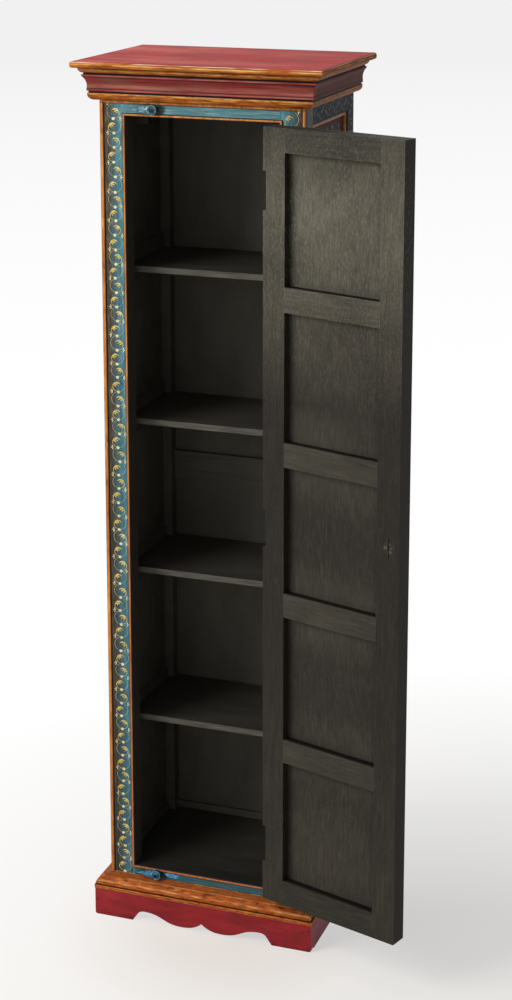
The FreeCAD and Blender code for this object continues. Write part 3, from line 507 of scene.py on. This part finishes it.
def rail_finish():
    """Rails of the face frame: teal dragged along them, a painted shadow beside each turn-button, stained
    behind.
    """
    material, tree, spot = new_finish("dragged_teal_milk_paint")
    teal, thick = brushwork(tree, spot, teal_shades, (60, 6, 2.4), 26)
    stain, _ = brushwork(tree, spot, floor_stain_shades, (120, 8, 8), 60)
    strip = inner_strip_edge - opening_half
    seams = (crown_bottom - top_strip_width, top_rail_bottom + strip, bottom_rail_top - strip, base_top)
    # Dark lines where the rails meet the strips: dark glaze with painted shade
    cracks = lines_along(tree, spot, [(level, 0.8 * mm) for level in seams], 0.8 * mm)
    behind = past_edge(tree, spot, "Y", front_face + face_depth, face_blur)
    soiled = past_edge(tree, spot, "Z", *rail_soiled_down)
    soiled = broken_by(tree, spot, soiled, (40, 40, 4), (-0.4, 0.8))
    teal = coats(tree, teal, (soiled, "#23474F"), (cracks, "#14201F"))
    # A painted shadow to the right of each turn-button, where its rosette would cast one
    shadow_aside = Vector((14 * mm, 0, 0))
    for name in ("top_button_turn", "bottom_button_turn"):
        middle = Vector(joints[name]["pos_m"]) + shadow_aside
        grime = around(tree, spot, middle, (13 * mm, 7 * mm), (0.0, 0.85))
        teal = coats(tree, teal, (grime, "#10191B"))
    paint = coats(tree, teal, (behind, stain))
    return surface(material, paint, thick, 0.15, (0.42, 0.58), gloss=0.15)


def side_finish(name, outside, shades, stroke_mm):
    """Milk paint on the outer face of a side piece, black stain on the rest of it in its lighter copy, as
    painted light.
    """
    material, tree, spot = new_finish(name)
    paint, thick = brushwork(tree, spot, shades, stroke_mm, 35)
    stain, _ = brushwork(tree, spot, stain_lifted_shades, (60, 60, 60), 60)
    outer = past_edge(tree, spot, "X", outside - face_depth, face_blur, both_sides=True)
    return surface(material, coats(tree, stain, (outer, paint)), thick, 0.12, (0.5, 0.66), gloss=0.06)


def door_finish(name, faces, outer_shades, stroke_mm, least, most, panel=False):
    """Charcoal wash on the door, with a painted sheen about its top panel, from a least share away from
    there to a most, painted light low down and at the ends of a panel, specks and rubbed arrises that show
    most in that sheen, painted shade on its ledges and at the sides of a panel, and milk paint on its
    outer face. The faces are the outer and the inner one, with the door shut."""
    material, tree, spot = new_finish(name, on_door=True)
    wash, thick = brushwork(tree, spot, door_shades, stroke_mm, 55)
    rubbed, _ = brushwork(tree, spot, door_sheen_shades, stroke_mm, 55)
    outer, _ = brushwork(tree, spot, outer_shades, stroke_mm, 30)
    # A painted sheen about the top panel, and painted light low down
    sheen_band = lines_along(tree, spot, [(top_panel_level, sheen_half_height)], sheen_blur)
    low = past_edge(tree, spot, "Z", *door_sheen_low, most=0.2)
    sheen_zone = add(tree, "Math", {0: sheen_band, 1: low}, operation="MAXIMUM").outputs[0]
    sheen_zone = add(tree, "MapRange", {"Value": sheen_zone, "To Min": least, "To Max": most}).outputs[0]
    gaps = range(panels_a_side + 1)
    rails = [door_panel_low + gap * door_panel_step - door_rail / 2 for gap in gaps]
    if panel:
        # A panel is painted lighter at its ends, by the rails: painted light
        beside = [(level, door_rail / 2 + 50 * mm) for level in rails]
        beside = lines_along(tree, spot, beside, 110 * mm, most=0.34)
        sheen_zone = add(tree, "Math", {0: sheen_zone, 1: beside}, operation="MAXIMUM").outputs[0]
    within = past_edge(tree, spot, "Y", faces[1] - face_depth, face_blur)
    sheen_zone = add(tree, "Math", {0: sheen_zone, 1: within}, operation="MULTIPLY").outputs[0]
    # The lighter wash is laid where the painted sheen falls, broken up in patches
    thin = broken_by(tree, spot, sheen_zone, (160, 160, 160), (0.1, 0.6))
    # Specks and rubbed arrises show most in the painted sheen
    sheen_grit = add(tree, "MapRange", {"Value": sheen_band, "To Min": 0.12, "To Max": 1.0}).outputs[0]
    speck = broken_by(tree, spot, sheen_grit, (2.6, 2.6, 7), (0.5, 1.3))
    arris = rubbed_edges(tree, spot, 1.3, (12, 12, 12), (0.42, 0.6))
    arris = add(tree, "Math", {0: arris, 1: sheen_grit}, operation="MULTIPLY").outputs[0]
    front = past_edge(tree, spot, "Y", faces[0] + face_depth, -face_blur)
    # Painted shade at the sides of a panel, by the stiles
    painted_side_shade = 0.0
    if panel:
        painted_side_shade = past_edge(tree, spot, "X", door_half - door_stile - 9 * mm, 26 * mm, both_sides=True)
        painted_side_shade = broken_by(tree, spot, painted_side_shade, (40, 40, 40), (0.1, 0.6))
    # Painted shade, near black, on the ledges at the foot of each panel
    shaded_ledges = lines_along(tree, spot, [(level + door_rail / 2, 0.7 * mm) for level in rails], 0.4 * mm)
    between = lines_along(tree, spot, [(0.0, door_half - door_stile)], 0.2 * mm, axis="X", both_sides=True)
    behind = past_edge(tree, spot, "Y", front_face + door_thickness - 5 * mm, -2 * mm)
    for share in (between, behind):
        shaded_ledges = add(tree, "Math", {0: shaded_ledges, 1: share}, operation="MULTIPLY").outputs[0]
    scuff = around(tree, spot, pin_mark, (14 * mm, 5 * mm))
    scuff = broken_by(tree, spot, scuff, (1.6, 1.6, 6), (0.5, 0.66))
    inner = coats(tree, wash, (thin, rubbed), (painted_side_shade, "#191814"), (speck, "#8A8674"), (arris, "#8A8674"))
    paint = coats(tree, inner, (scuff, "#7D7968"), (shaded_ledges, "#0F0E0C"), (front, outer))
    return surface(material, paint, thick, 0.06, (0.5, 0.64), gloss=0.1)


def carved_paint(name, shades):
    """Blue over dark on a carved turn-button: black in the cuts and low on the sides, dark paint with
    painted shade, rubbed pale on the crests.
    """
    material, tree, spot = new_finish(name)
    blue, thick = brushwork(tree, spot, shades, (9, 9, 6), 12)
    # Black up to the cut level: dark paint with painted shade in the cuts and on the sides
    deep = past_edge(tree, spot, "Y", front_face - (button_back + button_cut_level) * mm, 1.6 * mm)
    cuts = broken_by(tree, spot, 0.9, (7, 7, 3), (0.54, 0.66))
    rubbed = rubbed_edges(tree, spot, 1.1, (5, 5, 5), (0.3, 0.5))
    paint = coats(tree, blue, (cuts, "#0E2733"), (deep, "#0B1A22"), (rubbed, shades[2]))
    return surface(material, paint, thick, 0.15, (0.4, 0.54), gloss=0.25)


def blackened_iron():
    """Forged iron, blackened and waxed: dull, faintly mottled, brighter where handled."""
    material, tree, spot = new_finish("blackened_iron")
    iron, thick = brushwork(tree, spot, ("#141312", "#24221F", "#4A443C"), (4, 4, 4), 8)
    rubbed = rubbed_edges(tree, spot, 0.8, (6, 6, 6))
    iron = coats(tree, iron, (rubbed, "#6E675C"))
    return surface(material, iron, thick, 0.08, (0.42, 0.6), gloss=0.5, metal=0.85)


def sawn_timber():
    """Bare softwood off the saw: pale, with grain along the block."""
    material, tree, spot = new_finish("sawn_timber")
    timber, thick = brushwork(tree, spot, ("#8A633A", "#B08A5A", "#CBAA7C"), (6, 6, 60), 30)
    return surface(material, timber, thick, 0.25, (0.6, 0.75))


def ornament_paint(name, shades):
    """Thick poster paint from a small brush: a little ridged, paler where it lies thin."""
    material, tree, spot = new_finish(name)
    paint, thick = brushwork(tree, spot, shades, (4, 4, 4), 15)
    return surface(material, paint, thick, 0.06, (0.45, 0.6))


def dress(material, *names):
    """Gives the named nodes a finish."""
    for name in names:
        mesh = nodes[name].data
        mesh.materials.clear()
        mesh.materials.append(material)


def dress_cabinet():
    """A finish for every node of the frame."""
    dress(slab_finish(), "top_board")
    dress(cove_finish(), "crown_cove")
    dress(plinth_finish(), "plinth_front", "plinth_left", "plinth_right", "plinth_back")
    # Dark hollows: glaze settled there, widened under the crown's ovolos as painted shade; pale crests:
    # wear with a painted highlight
    hollows = [(cove_bottom - 1.7 * mm, 2.2 * mm), (cove_top + 1.7 * mm, 2.2 * mm)]
    crests = [(cove_bottom - 5.5 * mm, 1.0 * mm), (cove_top + 9 * mm, 0.8 * mm)]
    dress(moulding_glaze("crown_amber_glaze", glaze_shades, (30, 30, 2.6), hollows, crests, slab_top),
          "crown_upper_ovolo", "crown_lower_ovolo")
    hollows = [(base_bottom, 0.5 * mm)]
    crests = [(base_bottom + rise * mm, half * mm) for rise, half in ((-1.6, 0.3), (9, 1.2), (16.4, 0.3))]
    slope = base_bottom + 17.3 * mm
    dress(moulding_glaze("base_amber_glaze", base_glaze_shades, (16, 16, 2.4), hollows, crests, slope),
          "base_moulding", "plinth_cap_strip")
    dress(border_strip_glaze(), "face_border_strips")
    dress(opening_strip_glaze(), "opening_strips")
    dress(strip_glaze("side_bead_glaze", (6, 20, 20)), "left_side_beads", "right_side_beads")
    dress(strip_glaze("door_bead_glaze", (20, 6, 20), on_door=True), "door_outer_beads")
    dress(post_finish(), "left_front_post", "right_front_post")
    dress(rail_finish(), "top_front_rail", "bottom_front_rail")
    dress(side_finish("navy_milk_paint_upright", half_width, navy_shades, (8, 8, 90)),
          "left_back_post", "right_back_post")
    dress(side_finish("navy_milk_paint_level", half_width, navy_shades, (8, 90, 8)),
          "left_side_rails", "right_side_rails")
    dress(side_finish("maroon_milk_paint", panel_outer, maroon_shades, (12, 12, 80)),
          "left_side_panels", "right_side_panels")
    board_stroke = (120, 30, 8)
    shelf_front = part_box("shelf_1")[0].y
    dress(stain_inside("black_stain_shelves", shelf_stain_shades, shelf_stain_lifted_shades, board_stroke,
                       shelf_front), "shelf_1", "shelf_2", "shelf_3", "shelf_4")
    dress(stain_inside("black_stain_floor", floor_stain_shades, shelf_stain_lifted_shades, board_stroke,
                       front_face), "floor_board", "door_stop")
    dress(stain_inside("black_stain_level", stain_shades, stain_lifted_shades, board_stroke, front_face),
          "shelf_cleats", "back_rails")
    dress(stain_inside("black_stain_upright", stain_shades, stain_lifted_shades, (60, 60, 160), front_face),
          "back_panels")
    faces = (front_face, front_face + door_thickness)
    dress(door_finish("door_wash_upright", faces, teal_shades, (4, 4, 45), 0.0, 0.75),
          "door_hinge_stile", "door_free_stile")
    dress(door_finish("door_wash_level", faces, teal_shades, (45, 4, 4), 0.32, 0.9), "door_middle_rails")
    dress(door_finish("door_wash_ends", faces, teal_shades, (45, 4, 4), 0.05, 0.42),
          "door_top_rail", "door_bottom_rail")
    panels = ["door_panel_" + str(number) for number in range(1, panels_a_side + 1)]
    panel_skin = 2 * mm
    faces = (door_panel_face, door_panel_face + panel_skin)
    dress(door_finish("door_wash_panels", faces, maroon_shades, (5, 5, 34), 0.06, 1.0, panel=True),
          *panels)
    dress(blackened_iron(), "hinge_frame_leaves", "hinge_frame_screws", "hinge_pins", "hinge_door_leaves",
          "hinge_door_screws", "turn_button_screws", "plinth_nails", "pull_plate", "pull_split_pin",
          "pull_ring")
    dress(sawn_timber(), "plinth_corner_blocks")


def facing(origin, across, along):
    """The place of a drawing on the wood: its X across, its Y along and its Z out of the wood, in mm."""
    across = Vector(across)
    along = Vector(along)
    turn = Matrix((across, along, across.cross(along))).transposed().to_4x4()
    return Matrix.Translation(origin) @ turn @ Matrix.Scale(mm, 4)


def pull(form, centre, radius, start, end, width, shade, lift, least, fullest=0.5, steps=8):
    """One pull of the brush along an arc, in mm and degrees: it swells to a width and runs out thin."""
    first_vert = len(form.verts)
    first_face = len(form.faces)
    angle = math.radians(start)
    middle = Vector((*centre, lift))
    way = Vector((math.cos(angle), math.sin(angle), 0))
    ends = [form.verts.new(middle + way * (radius + side * width / 2)) for side in (-1, 1)]
    bmesh.ops.spin(form, geom=[*ends, form.edges.new(ends)], cent=middle, axis=(0, 0, 1),
                   angle=math.radians(end - start), steps=steps, use_duplicate=False)
    form.verts.ensure_lookup_table()
    form.faces.ensure_lookup_table()
    power = math.log(0.5) / math.log(fullest)
    for index, vert in enumerate(form.verts[first_vert:]):
        share = (index // 2) / steps
        full = least + (1 - least) * math.sin(math.pi * share ** power)
        out = vert.co - middle
        vert.co = middle + out.normalized() * (radius + (out.length - radius) * full)
    for face in form.faces[first_face:]:
        face.material_index = shade


def finger(form, start, end, bulge, width, lift):
    """One pull of the leaf brush from a point to a point, in mm, bulging to the left of its way."""
    way = Vector(end) - Vector(start)
    radius = (way.length ** 2 / 4 + bulge ** 2) / (2 * bulge)
    left = Vector((-way.y, way.x)).normalized()
    centre = (Vector(start) + Vector(end)) / 2 - left * (radius - bulge)
    first = Vector(start) - centre
    angle = math.degrees(math.atan2(first.y, first.x))
    sweep = math.degrees(2 * math.asin(way.length / (2 * radius)))
    pull(form, centre, abs(radius), angle, angle - sweep, width, leaf_paint, lift, fullest=0.55,
         least=0.12, steps=5)


def dab(form, place, size, shade, lift, turn=0.0):
    """One touch of the brush, an oval of a length and a width in mm, turned by an angle in degrees."""
    first_face = len(form.faces)
    spread = Matrix.Diagonal((size[0] / 2, size[1] / 2, 1, 1))
    matrix = Matrix.Translation((*place, lift)) @ Matrix.Rotation(math.radians(turn), 4, "Z") @ spread
    bmesh.ops.create_circle(form, cap_ends=True, segments=8, radius=1, matrix=matrix)
    form.faces.ensure_lookup_table()
    for face in form.faces[first_face:]:
        face.material_index = shade


def drawn(name, form, flip=1):
    """A flat drawing kept as a mesh to copy, with its faces up; flip -1 gives its mirror image."""
    bmesh.ops.scale(form, vec=(flip, 1, 1), verts=form.verts)
    form.normal_update()
    bmesh.ops.reverse_faces(form, faces=[face for face in form.faces if face.normal.z < 0])
    mesh = bpy.data.meshes.new(name)
    form.to_mesh(mesh)
    form.free()
    return mesh


def vine_unit(flip):
    """A unit of the vine: a thin stem round one side, a leaf of three fingers on the other, a bud and a
    dot. Each stroke lies a hair above the one before."""
    form = bmesh.new()
    curl = (3.2, -vine_pitch * 0.64)
    bend = (0.3, -vine_pitch / 2)
    pull(form, bend, stem_radius, 112, 264, 0.8, stem_paint, stem_lift, least=0.6, steps=9)
    pull(form, curl, leaf_radius, -104, 70, 1.5, leaf_paint, leaf_lift, fullest=0.8, least=0.35, steps=9)
    pull(form, curl, leaf_radius, 20, 140, 3.0, leaf_paint, leaf_lift + 0.03, least=0.1, steps=7)
    finger(form, (10.4, -13.1), (0.8, -15.8), -1.4, 2.6, leaf_lift + 0.05)
    finger(form, (10.9, -14.6), (5.3, -18.6), -0.9, 2.2, leaf_lift + 0.07)
    bud = Vector((-11.2, 0.4))
    for turn in (-55, 0, 55):
        way = Vector((-math.cos(math.radians(turn)), math.sin(math.radians(turn))))
        dab(form, bud + way * 3.4, (5.2, 1.8), dot_paint, stem_lift + 0.04, turn=-turn)
    dab(form, (0, -vine_pitch), (dot_radius * 2.1, dot_radius * 1.9), dot_paint, dot_lift)
    return drawn("vine_unit", form, flip)


def sprig():
    """A leafy sprig for the panels: an upright stem, pairs of leaves and a dotted flower at its head."""
    form = bmesh.new()
    stem_bend = 150
    pull(form, (-stem_bend, 0), stem_bend, -11, 11, 1.2, stem_paint, stem_lift, least=0.5, steps=6)
    for level, reach in ((-20, 13), (-8, 15), (4, 13), (15, 10)):
        for side in (-1, 1):
            middle = (side * reach * 0.55, level + reach * 0.3)
            dab(form, middle, (reach, reach * 0.36), leaf_paint, leaf_lift, turn=side * 42)
    head = Vector((-2.6, 29))
    for turn in range(0, 360, 60):
        way = Vector((math.cos(math.radians(turn)), math.sin(math.radians(turn))))
        dab(form, head + way * 3.6, (4.2, 2.4), leaf_paint, leaf_lift, turn=turn)
    dab(form, head, (4, 4), dot_paint, dot_lift)
    return drawn("sprig", form)


def stamp(form, drawing, place):
    """Adds a copy of a drawing to a form, at a place."""
    first_vert = len(form.verts)
    form.from_mesh(drawing)
    form.verts.ensure_lookup_table()
    bmesh.ops.transform(form, matrix=place, verts=form.verts[first_vert:])


def vine_along(form, place, length, units, scale=1.0, first=0):
    """Vine down a band of a length in mm, its leaves to one side and the other, as even as a hand is."""
    count = round(length / (vine_pitch * scale))
    step = length / count
    for number in range(count):
        shift = Matrix.Translation((hand.uniform(-0.6, 0.6), -number * step, 0))
        turn = Matrix.Rotation(math.radians(hand.uniform(-4, 4)), 4, "Z")
        size = step / vine_pitch * hand.uniform(0.96, 1.04)
        unit = units[(number + first) % 2]
        stamp(form, unit, place @ shift @ turn @ Matrix.Diagonal((size, size, 1, 1)))


def sprigs_over(form, place, width, height, drawing):
    """Sprigs over a panel of a size in mm, from its middle, every other row set half a step across."""
    for row in range(sprig_rows):
        staggered = row % 2
        for column in range(sprig_columns - staggered):
            across = (column + 0.5 + staggered / 2) / sprig_columns - 0.5
            shift = Matrix.Translation((across * width, ((row + 0.5) / sprig_rows - 0.5) * height, 0))
            turn = Matrix.Rotation(math.radians(hand.uniform(-6, 6)), 4, "Z")
            size = hand.uniform(0.92, 1.06)
            stamp(form, drawing, place @ shift @ turn @ Matrix.Diagonal((size, size, 1, 1)))


def piece_of(name, form, finishes):
    """A piece with the shape of a form and its finishes, set in the scene."""
    mesh = bpy.data.meshes.new(name)
    form.to_mesh(mesh)
    form.free()
    for finish in finishes:
        mesh.materials.append(finish)
    piece = bpy.data.objects.new(name, mesh)
    bpy.context.scene.collection.objects.link(piece)
    return piece


def painted(name, form, body, finishes):
    """A piece of thick paint: the drawing given a depth that keys into the wood, riding on a body."""
    piece = piece_of(name, form, finishes)
    depth = piece.modifiers.new("paint_depth", "SOLIDIFY")
    depth.thickness = paint_depth * mm
    depth.offset = -1
    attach(piece, body)


def paint_face_frame(units, finishes):
    """The vine down both front posts, from under the crown to the base, mirrored left and right."""
    band_top = crown_bottom - top_strip_width - vine_below_strip * mm
    band_length = (band_top - base_top - vine_over_base * mm) / mm
    middle = (inner_strip_edge + half_width - outer_strip_width) / 2 - vine_aside * mm
    for name, side, first in (("left_post_vine", -1, 0), ("right_post_vine", 1, 1)):
        form = bmesh.new()
        place = facing((side * middle, front_face, band_top), (1, 0, 0), (0, 0, 1))
        vine_along(form, place, band_length, units, first=first)
        painted(name, form, "cabinet", finishes)


def paint_side(word, side, units, drawing, finishes):
    """Dull vine round the stiles and rails of one side, sprigs on its maroon panels."""
    form = bmesh.new()
    out = (0, side, 0)
    low = base_top + vine_over_base * mm
    length = (crown_bottom - low) / mm - 2 * side_vine_margin
    for near, far in ((front_face, frame_back), (back_post_front, back_face)):
        origin = (side * half_width, (near + far) / 2, crown_bottom - side_vine_margin * mm)
        vine_along(form, facing(origin, out, (0, 0, 1)), length, units, scale=side_vine_scale)
    levels = [(side_panel_low + base_top) / 2, (side_panel_top + crown_bottom) / 2]
    gaps = range(1, panels_a_side)
    levels += [side_panel_low + gap * side_panel_step - side_rail_height / 2 for gap in gaps]
    for level in levels:
        origin = (side * half_width, frame_back if side > 0 else back_post_front, level)
        place = facing(origin, (0, 0, 1), (0, -side, 0))
        vine_along(form, place, (back_post_front - frame_back) / mm, units, scale=side_vine_scale)
    for number in range(panels_a_side):
        level = side_panel_low + number * side_panel_step + (side_panel_step - side_rail_height) / 2
        origin = (side * panel_outer, (frame_back + back_post_front) / 2, level)
        width = (back_post_front - frame_back) / mm - sprig_margin
        height = (side_panel_step - side_rail_height) / mm - sprig_margin
        sprigs_over(form, facing(origin, out, (0, 0, 1)), width, height, drawing)
    painted(word + "_side_ornament", form, "cabinet", finishes)


def paint_door(units, drawing, finishes):
    """Vine on the outer stiles and rails of the door, sprigs on its panels, drawn with the door shut."""
    form = bmesh.new()
    margin = door_vine_margin * mm
    length = (door_top - door_bottom - 2 * margin) / mm
    for side in (-1, 1):
        origin = (side * (door_half - door_stile / 2), front_face, door_top - margin)
        place = swing @ facing(origin, (1, 0, 0), (0, 0, 1))
        vine_along(form, place, length, units, first=(side + 1) // 2)
    levels = [(door_panel_low + door_bottom) / 2, (door_panel_top + door_top) / 2]
    levels += [door_panel_low + gap * door_panel_step - door_rail / 2 for gap in range(1, panels_a_side)]
    inside = door_half - door_stile
    for level in levels:
        place = facing((inside, front_face, level), (0, 0, -1), (1, 0, 0))
        vine_along(form, swing @ place, 2 * inside / mm, units)
    for number in range(panels_a_side):
        level = door_panel_low + number * door_panel_step + (door_panel_step - door_rail) / 2
        place = facing((0, door_panel_face, level), (1, 0, 0), (0, 0, 1))
        height = (door_panel_step - door_rail) / mm - sprig_margin
        sprigs_over(form, swing @ place, 2 * inside / mm - sprig_margin, height, drawing)
    painted("door_outer_ornament", form, "door", finishes)


def paint_ornament():
    """All the brush-drawn ornament: bright on the front, dull on the sides, and one rubbed blue touch."""
    units = [vine_unit(1), vine_unit(-1)]
    drawing = sprig()
    leaf = ornament_paint("leaf_yellow_poster_paint", ("#A58436", "#D6B95E", "#EEE0A4"))
    stem = ornament_paint("stem_grey_poster_paint", ("#7E8070", "#A9A98F", "#C8C6AC"))
    cream = ornament_paint("dot_cream_poster_paint", ("#B3A67C", "#DED3A8", "#F2EAD0"))
    dull_leaf = ornament_paint("dull_gold_poster_paint", ("#3A3828", "#524E38", "#736C4E"))
    dull_stem = ornament_paint("dull_grey_poster_paint", ("#3E3F3B", "#56564E", "#74736A"))
    paint_face_frame(units, [leaf, stem, cream])
    paint_side("left", -1, units, drawing, [dull_leaf, dull_stem, dull_stem])
    paint_side("right", 1, units, drawing, [dull_leaf, dull_stem, dull_stem])
    paint_door(units, drawing, [leaf, stem, cream])
    bright = ornament_paint("bright_blue_poster_paint", ("#1F5F8C", "#3C8CC2", "#6FB4DA"))
    form = bmesh.new()
    pull(form, (0, 60), 60, -106, -74, 9.0, leaf_paint, stem_lift, fullest=0.4, least=0.1)
    pull(form, (6, 60), 63, -104, -82, 4.0, leaf_paint, leaf_lift, fullest=0.4, least=0.1)
    touch_across = -75 * mm
    touch_down = 11.5 * mm
    place = facing((touch_across, front_face, bottom_rail_top - touch_down), (1, 0, 0), (0, 0, 1))
    rubbed = drawn("rubbed_touch", form)
    form = bmesh.new()
    stamp(form, rubbed, place)
    painted("bottom_rail_blue_touch", form, "cabinet", [bright])


def carved_button(name, node, body, pivot, finish):
    """A turn-button carved from one piece: a ringed rosette about its screw, a veined leaf as its tail."""
    form = bmesh.new()
    rings = ((2.6, -4.8), (4.5, -4.8), (4.5, 0), (9.7, 0), (10.2, 0.8), (10.2, 5.8), (9.8, 7.3),
             (8.9, 8.0), (7.9, 7.4), (7.3, 5.2), (6.6, 4.6), (6.0, 5.4), (5.4, 7.0), (4.8, 7.8),
             (4.2, 8.4), (3.6, 9.0), (2.6, 9.0))
    profile = [form.verts.new((radius, 0, height)) for radius, height in rings]
    edges = [form.edges.new(pair) for pair in zip(profile, profile[1:] + profile[:1])]
    bmesh.ops.spin(form, geom=profile + edges, cent=(0, 0, 0), axis=(0, 0, 1), angle=math.tau, steps=36,
                   use_merge=True, use_duplicate=False)
    under = bmesh.ops.create_grid(form, x_segments=36, y_segments=12, size=1)["verts"]
    faces = list({face for vert in under for face in vert.link_faces})
    edges = list({edge for vert in under for edge in vert.link_edges})
    upper = bmesh.ops.extrude_face_region(form, geom=faces + edges + under, use_keep_orig=True)["geom"]
    upper = {item for item in upper if isinstance(item, bmesh.types.BMVert)}
    for vert in [*under, *upper]:
        along = (vert.co.x + 1) / 2
        across = vert.co.y
        half = button_leaf_half * (1 - along) ** 0.8 * (0.78 + 0.22 * min(1, along / 0.22))
        vein = max(0, math.sin(math.tau * (along * vein_count + abs(across) * vein_slant)))
        cut = vein_depth * vein ** 2 * abs(across) ** 0.5
        crown = button_leaf_body + button_leaf_crown * (1 - across ** 2) * (1 - 0.4 * along) - cut
        rib = rib_height * math.exp(-(across / rib_half) ** 2)
        height = min(crown + rib, button_leaf_height) if vert in upper else 0
        reach = button_leaf_start + (button_leaf_end - button_leaf_start) * along
        vert.co = (-reach, across * half, height)
    bmesh.ops.remove_doubles(form, verts=form.verts, dist=0.02)
    bmesh.ops.recalc_face_normals(form, faces=form.faces)
    origin = (pivot[0], front_face - button_back * mm, pivot[2])
    bmesh.ops.transform(form, matrix=facing(origin, (1, 0, 0), (0, 0, 1)), verts=form.verts)
    piece = piece_of(name, form, [finish])
    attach(piece, body)
    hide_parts(node)


def plainly_seen(tree):
    """1 for what is seen, straight, in gloss or through glass, and 0 for light that falls on things."""
    path = add(tree, "LightPath").outputs
    seen = path["Is Camera Ray"]
    for ray in ("Is Glossy Ray", "Is Transmission Ray"):
        seen = add(tree, "Math", {0: seen, 1: path[ray]}, operation="MAXIMUM").outputs[0]
    return seen


def pale_floor():
    """A matt pale floor: it keeps the shade about the cabinet and the warm light off the plinth, and is
    lifted to white away from there."""
    material, tree, spot = new_finish("pale_floor")
    lifted = around(tree, spot, shade_middle, shade_reach, (floor_lift, 1.0))
    strength = around(tree, spot, shade_middle, far_reach, (1.0, far_white))
    warm = around(tree, spot, warm_middle, warm_reach)
    pale = coats(tree, colour("#EFE7DC"), (warm, "#C6AC90"))
    matt = add(tree, "BsdfDiffuse", {"Color": pale}).outputs[0]
    white = add(tree, "Emission", {"Color": colour("#FFFFFF"), "Strength": strength}).outputs[0]
    share = add(tree, "Math", {0: plainly_seen(tree), 1: lifted}, operation="MULTIPLY").outputs[0]
    blend = add(tree, "MixShader", {0: share, 1: matt, 2: white})
    add(tree, "OutputMaterial", {"Surface": blend.outputs[0]})
    return material


def lay_floor():
    """The floor under the cabinet."""
    form = bmesh.new()
    bmesh.ops.create_circle(form, cap_ends=True, segments=96, radius=floor_reach)
    floor = piece_of("studio_floor", form, [pale_floor()])


def light_surround():
    """A surround that is white to see and gives soft light, little of it from its dim side."""
    world = bpy.data.worlds.new("studio_surround")
    bpy.context.scene.world = world
    world.use_nodes = True
    tree = world.node_tree
    tree.nodes.clear()
    way = add(tree, "TexCoord").outputs["Generated"]
    turned = add(tree, "VectorMath", {0: way, 1: dim_side}, operation="DOT_PRODUCT").outputs["Value"]
    span = {"Value": turned, "From Min": dim_span[0], "From Max": dim_span[1],
            "To Min": ambient[0], "To Max": ambient[1]}
    soft = add(tree, "MapRange", span).outputs[0]
    level = add(tree, "MapRange", {"Value": plainly_seen(tree), "To Min": soft, "To Max": 1.0})
    sky = add(tree, "Background", {"Color": colour("#FFFFFF"), "Strength": level.outputs[0]})
    add(tree, "OutputWorld", {"Surface": sky.outputs[0]})


def hang_lamps():
    """The soft lamps."""
    for name, place, aim, size, power in lamps:
        lamp = bpy.data.lights.new(name, "AREA")
        lamp.size = size
        lamp.energy = power
        lit = bpy.data.objects.new(name, lamp)
        lit.location = place
        lit.rotation_euler = (Vector(aim) - Vector(place)).to_track_quat("-Z", "Y").to_euler()
        bpy.context.scene.collection.objects.link(lit)


def set_camera():
    """The camera at the photograph's angle, with colours shown as they are written."""
    view = bpy.data.cameras.new("photo_camera")
    view.sensor_fit = "AUTO"
    view.lens = view.sensor_width * camera_focus / frame_height
    view.shift_y = (camera_axis - frame_height / 2) / frame_height
    view.clip_end = 100
    camera = bpy.data.objects.new("photo_camera", view)
    camera.location = camera_place
    camera.rotation_euler = (math.pi / 2 - camera_pitch, 0, camera_yaw)
    bpy.context.scene.collection.objects.link(camera)
    bpy.context.scene.camera = camera
    bpy.context.scene.view_settings.view_transform = "Standard"


dress_cabinet()
paint_ornament()
for word, shades in (("top", dusty_blue_shades), ("bottom", blue_shades)):
    finish = carved_paint(word + "_button_milk_paint", shades)
    pivot = joints[word + "_button_turn"]["pos_m"]
    carved_button(word + "_carved_button", word + "_turn_button", word + "_button", pivot, finish)
lay_floor()
light_surround()
hang_lamps()
set_camera()
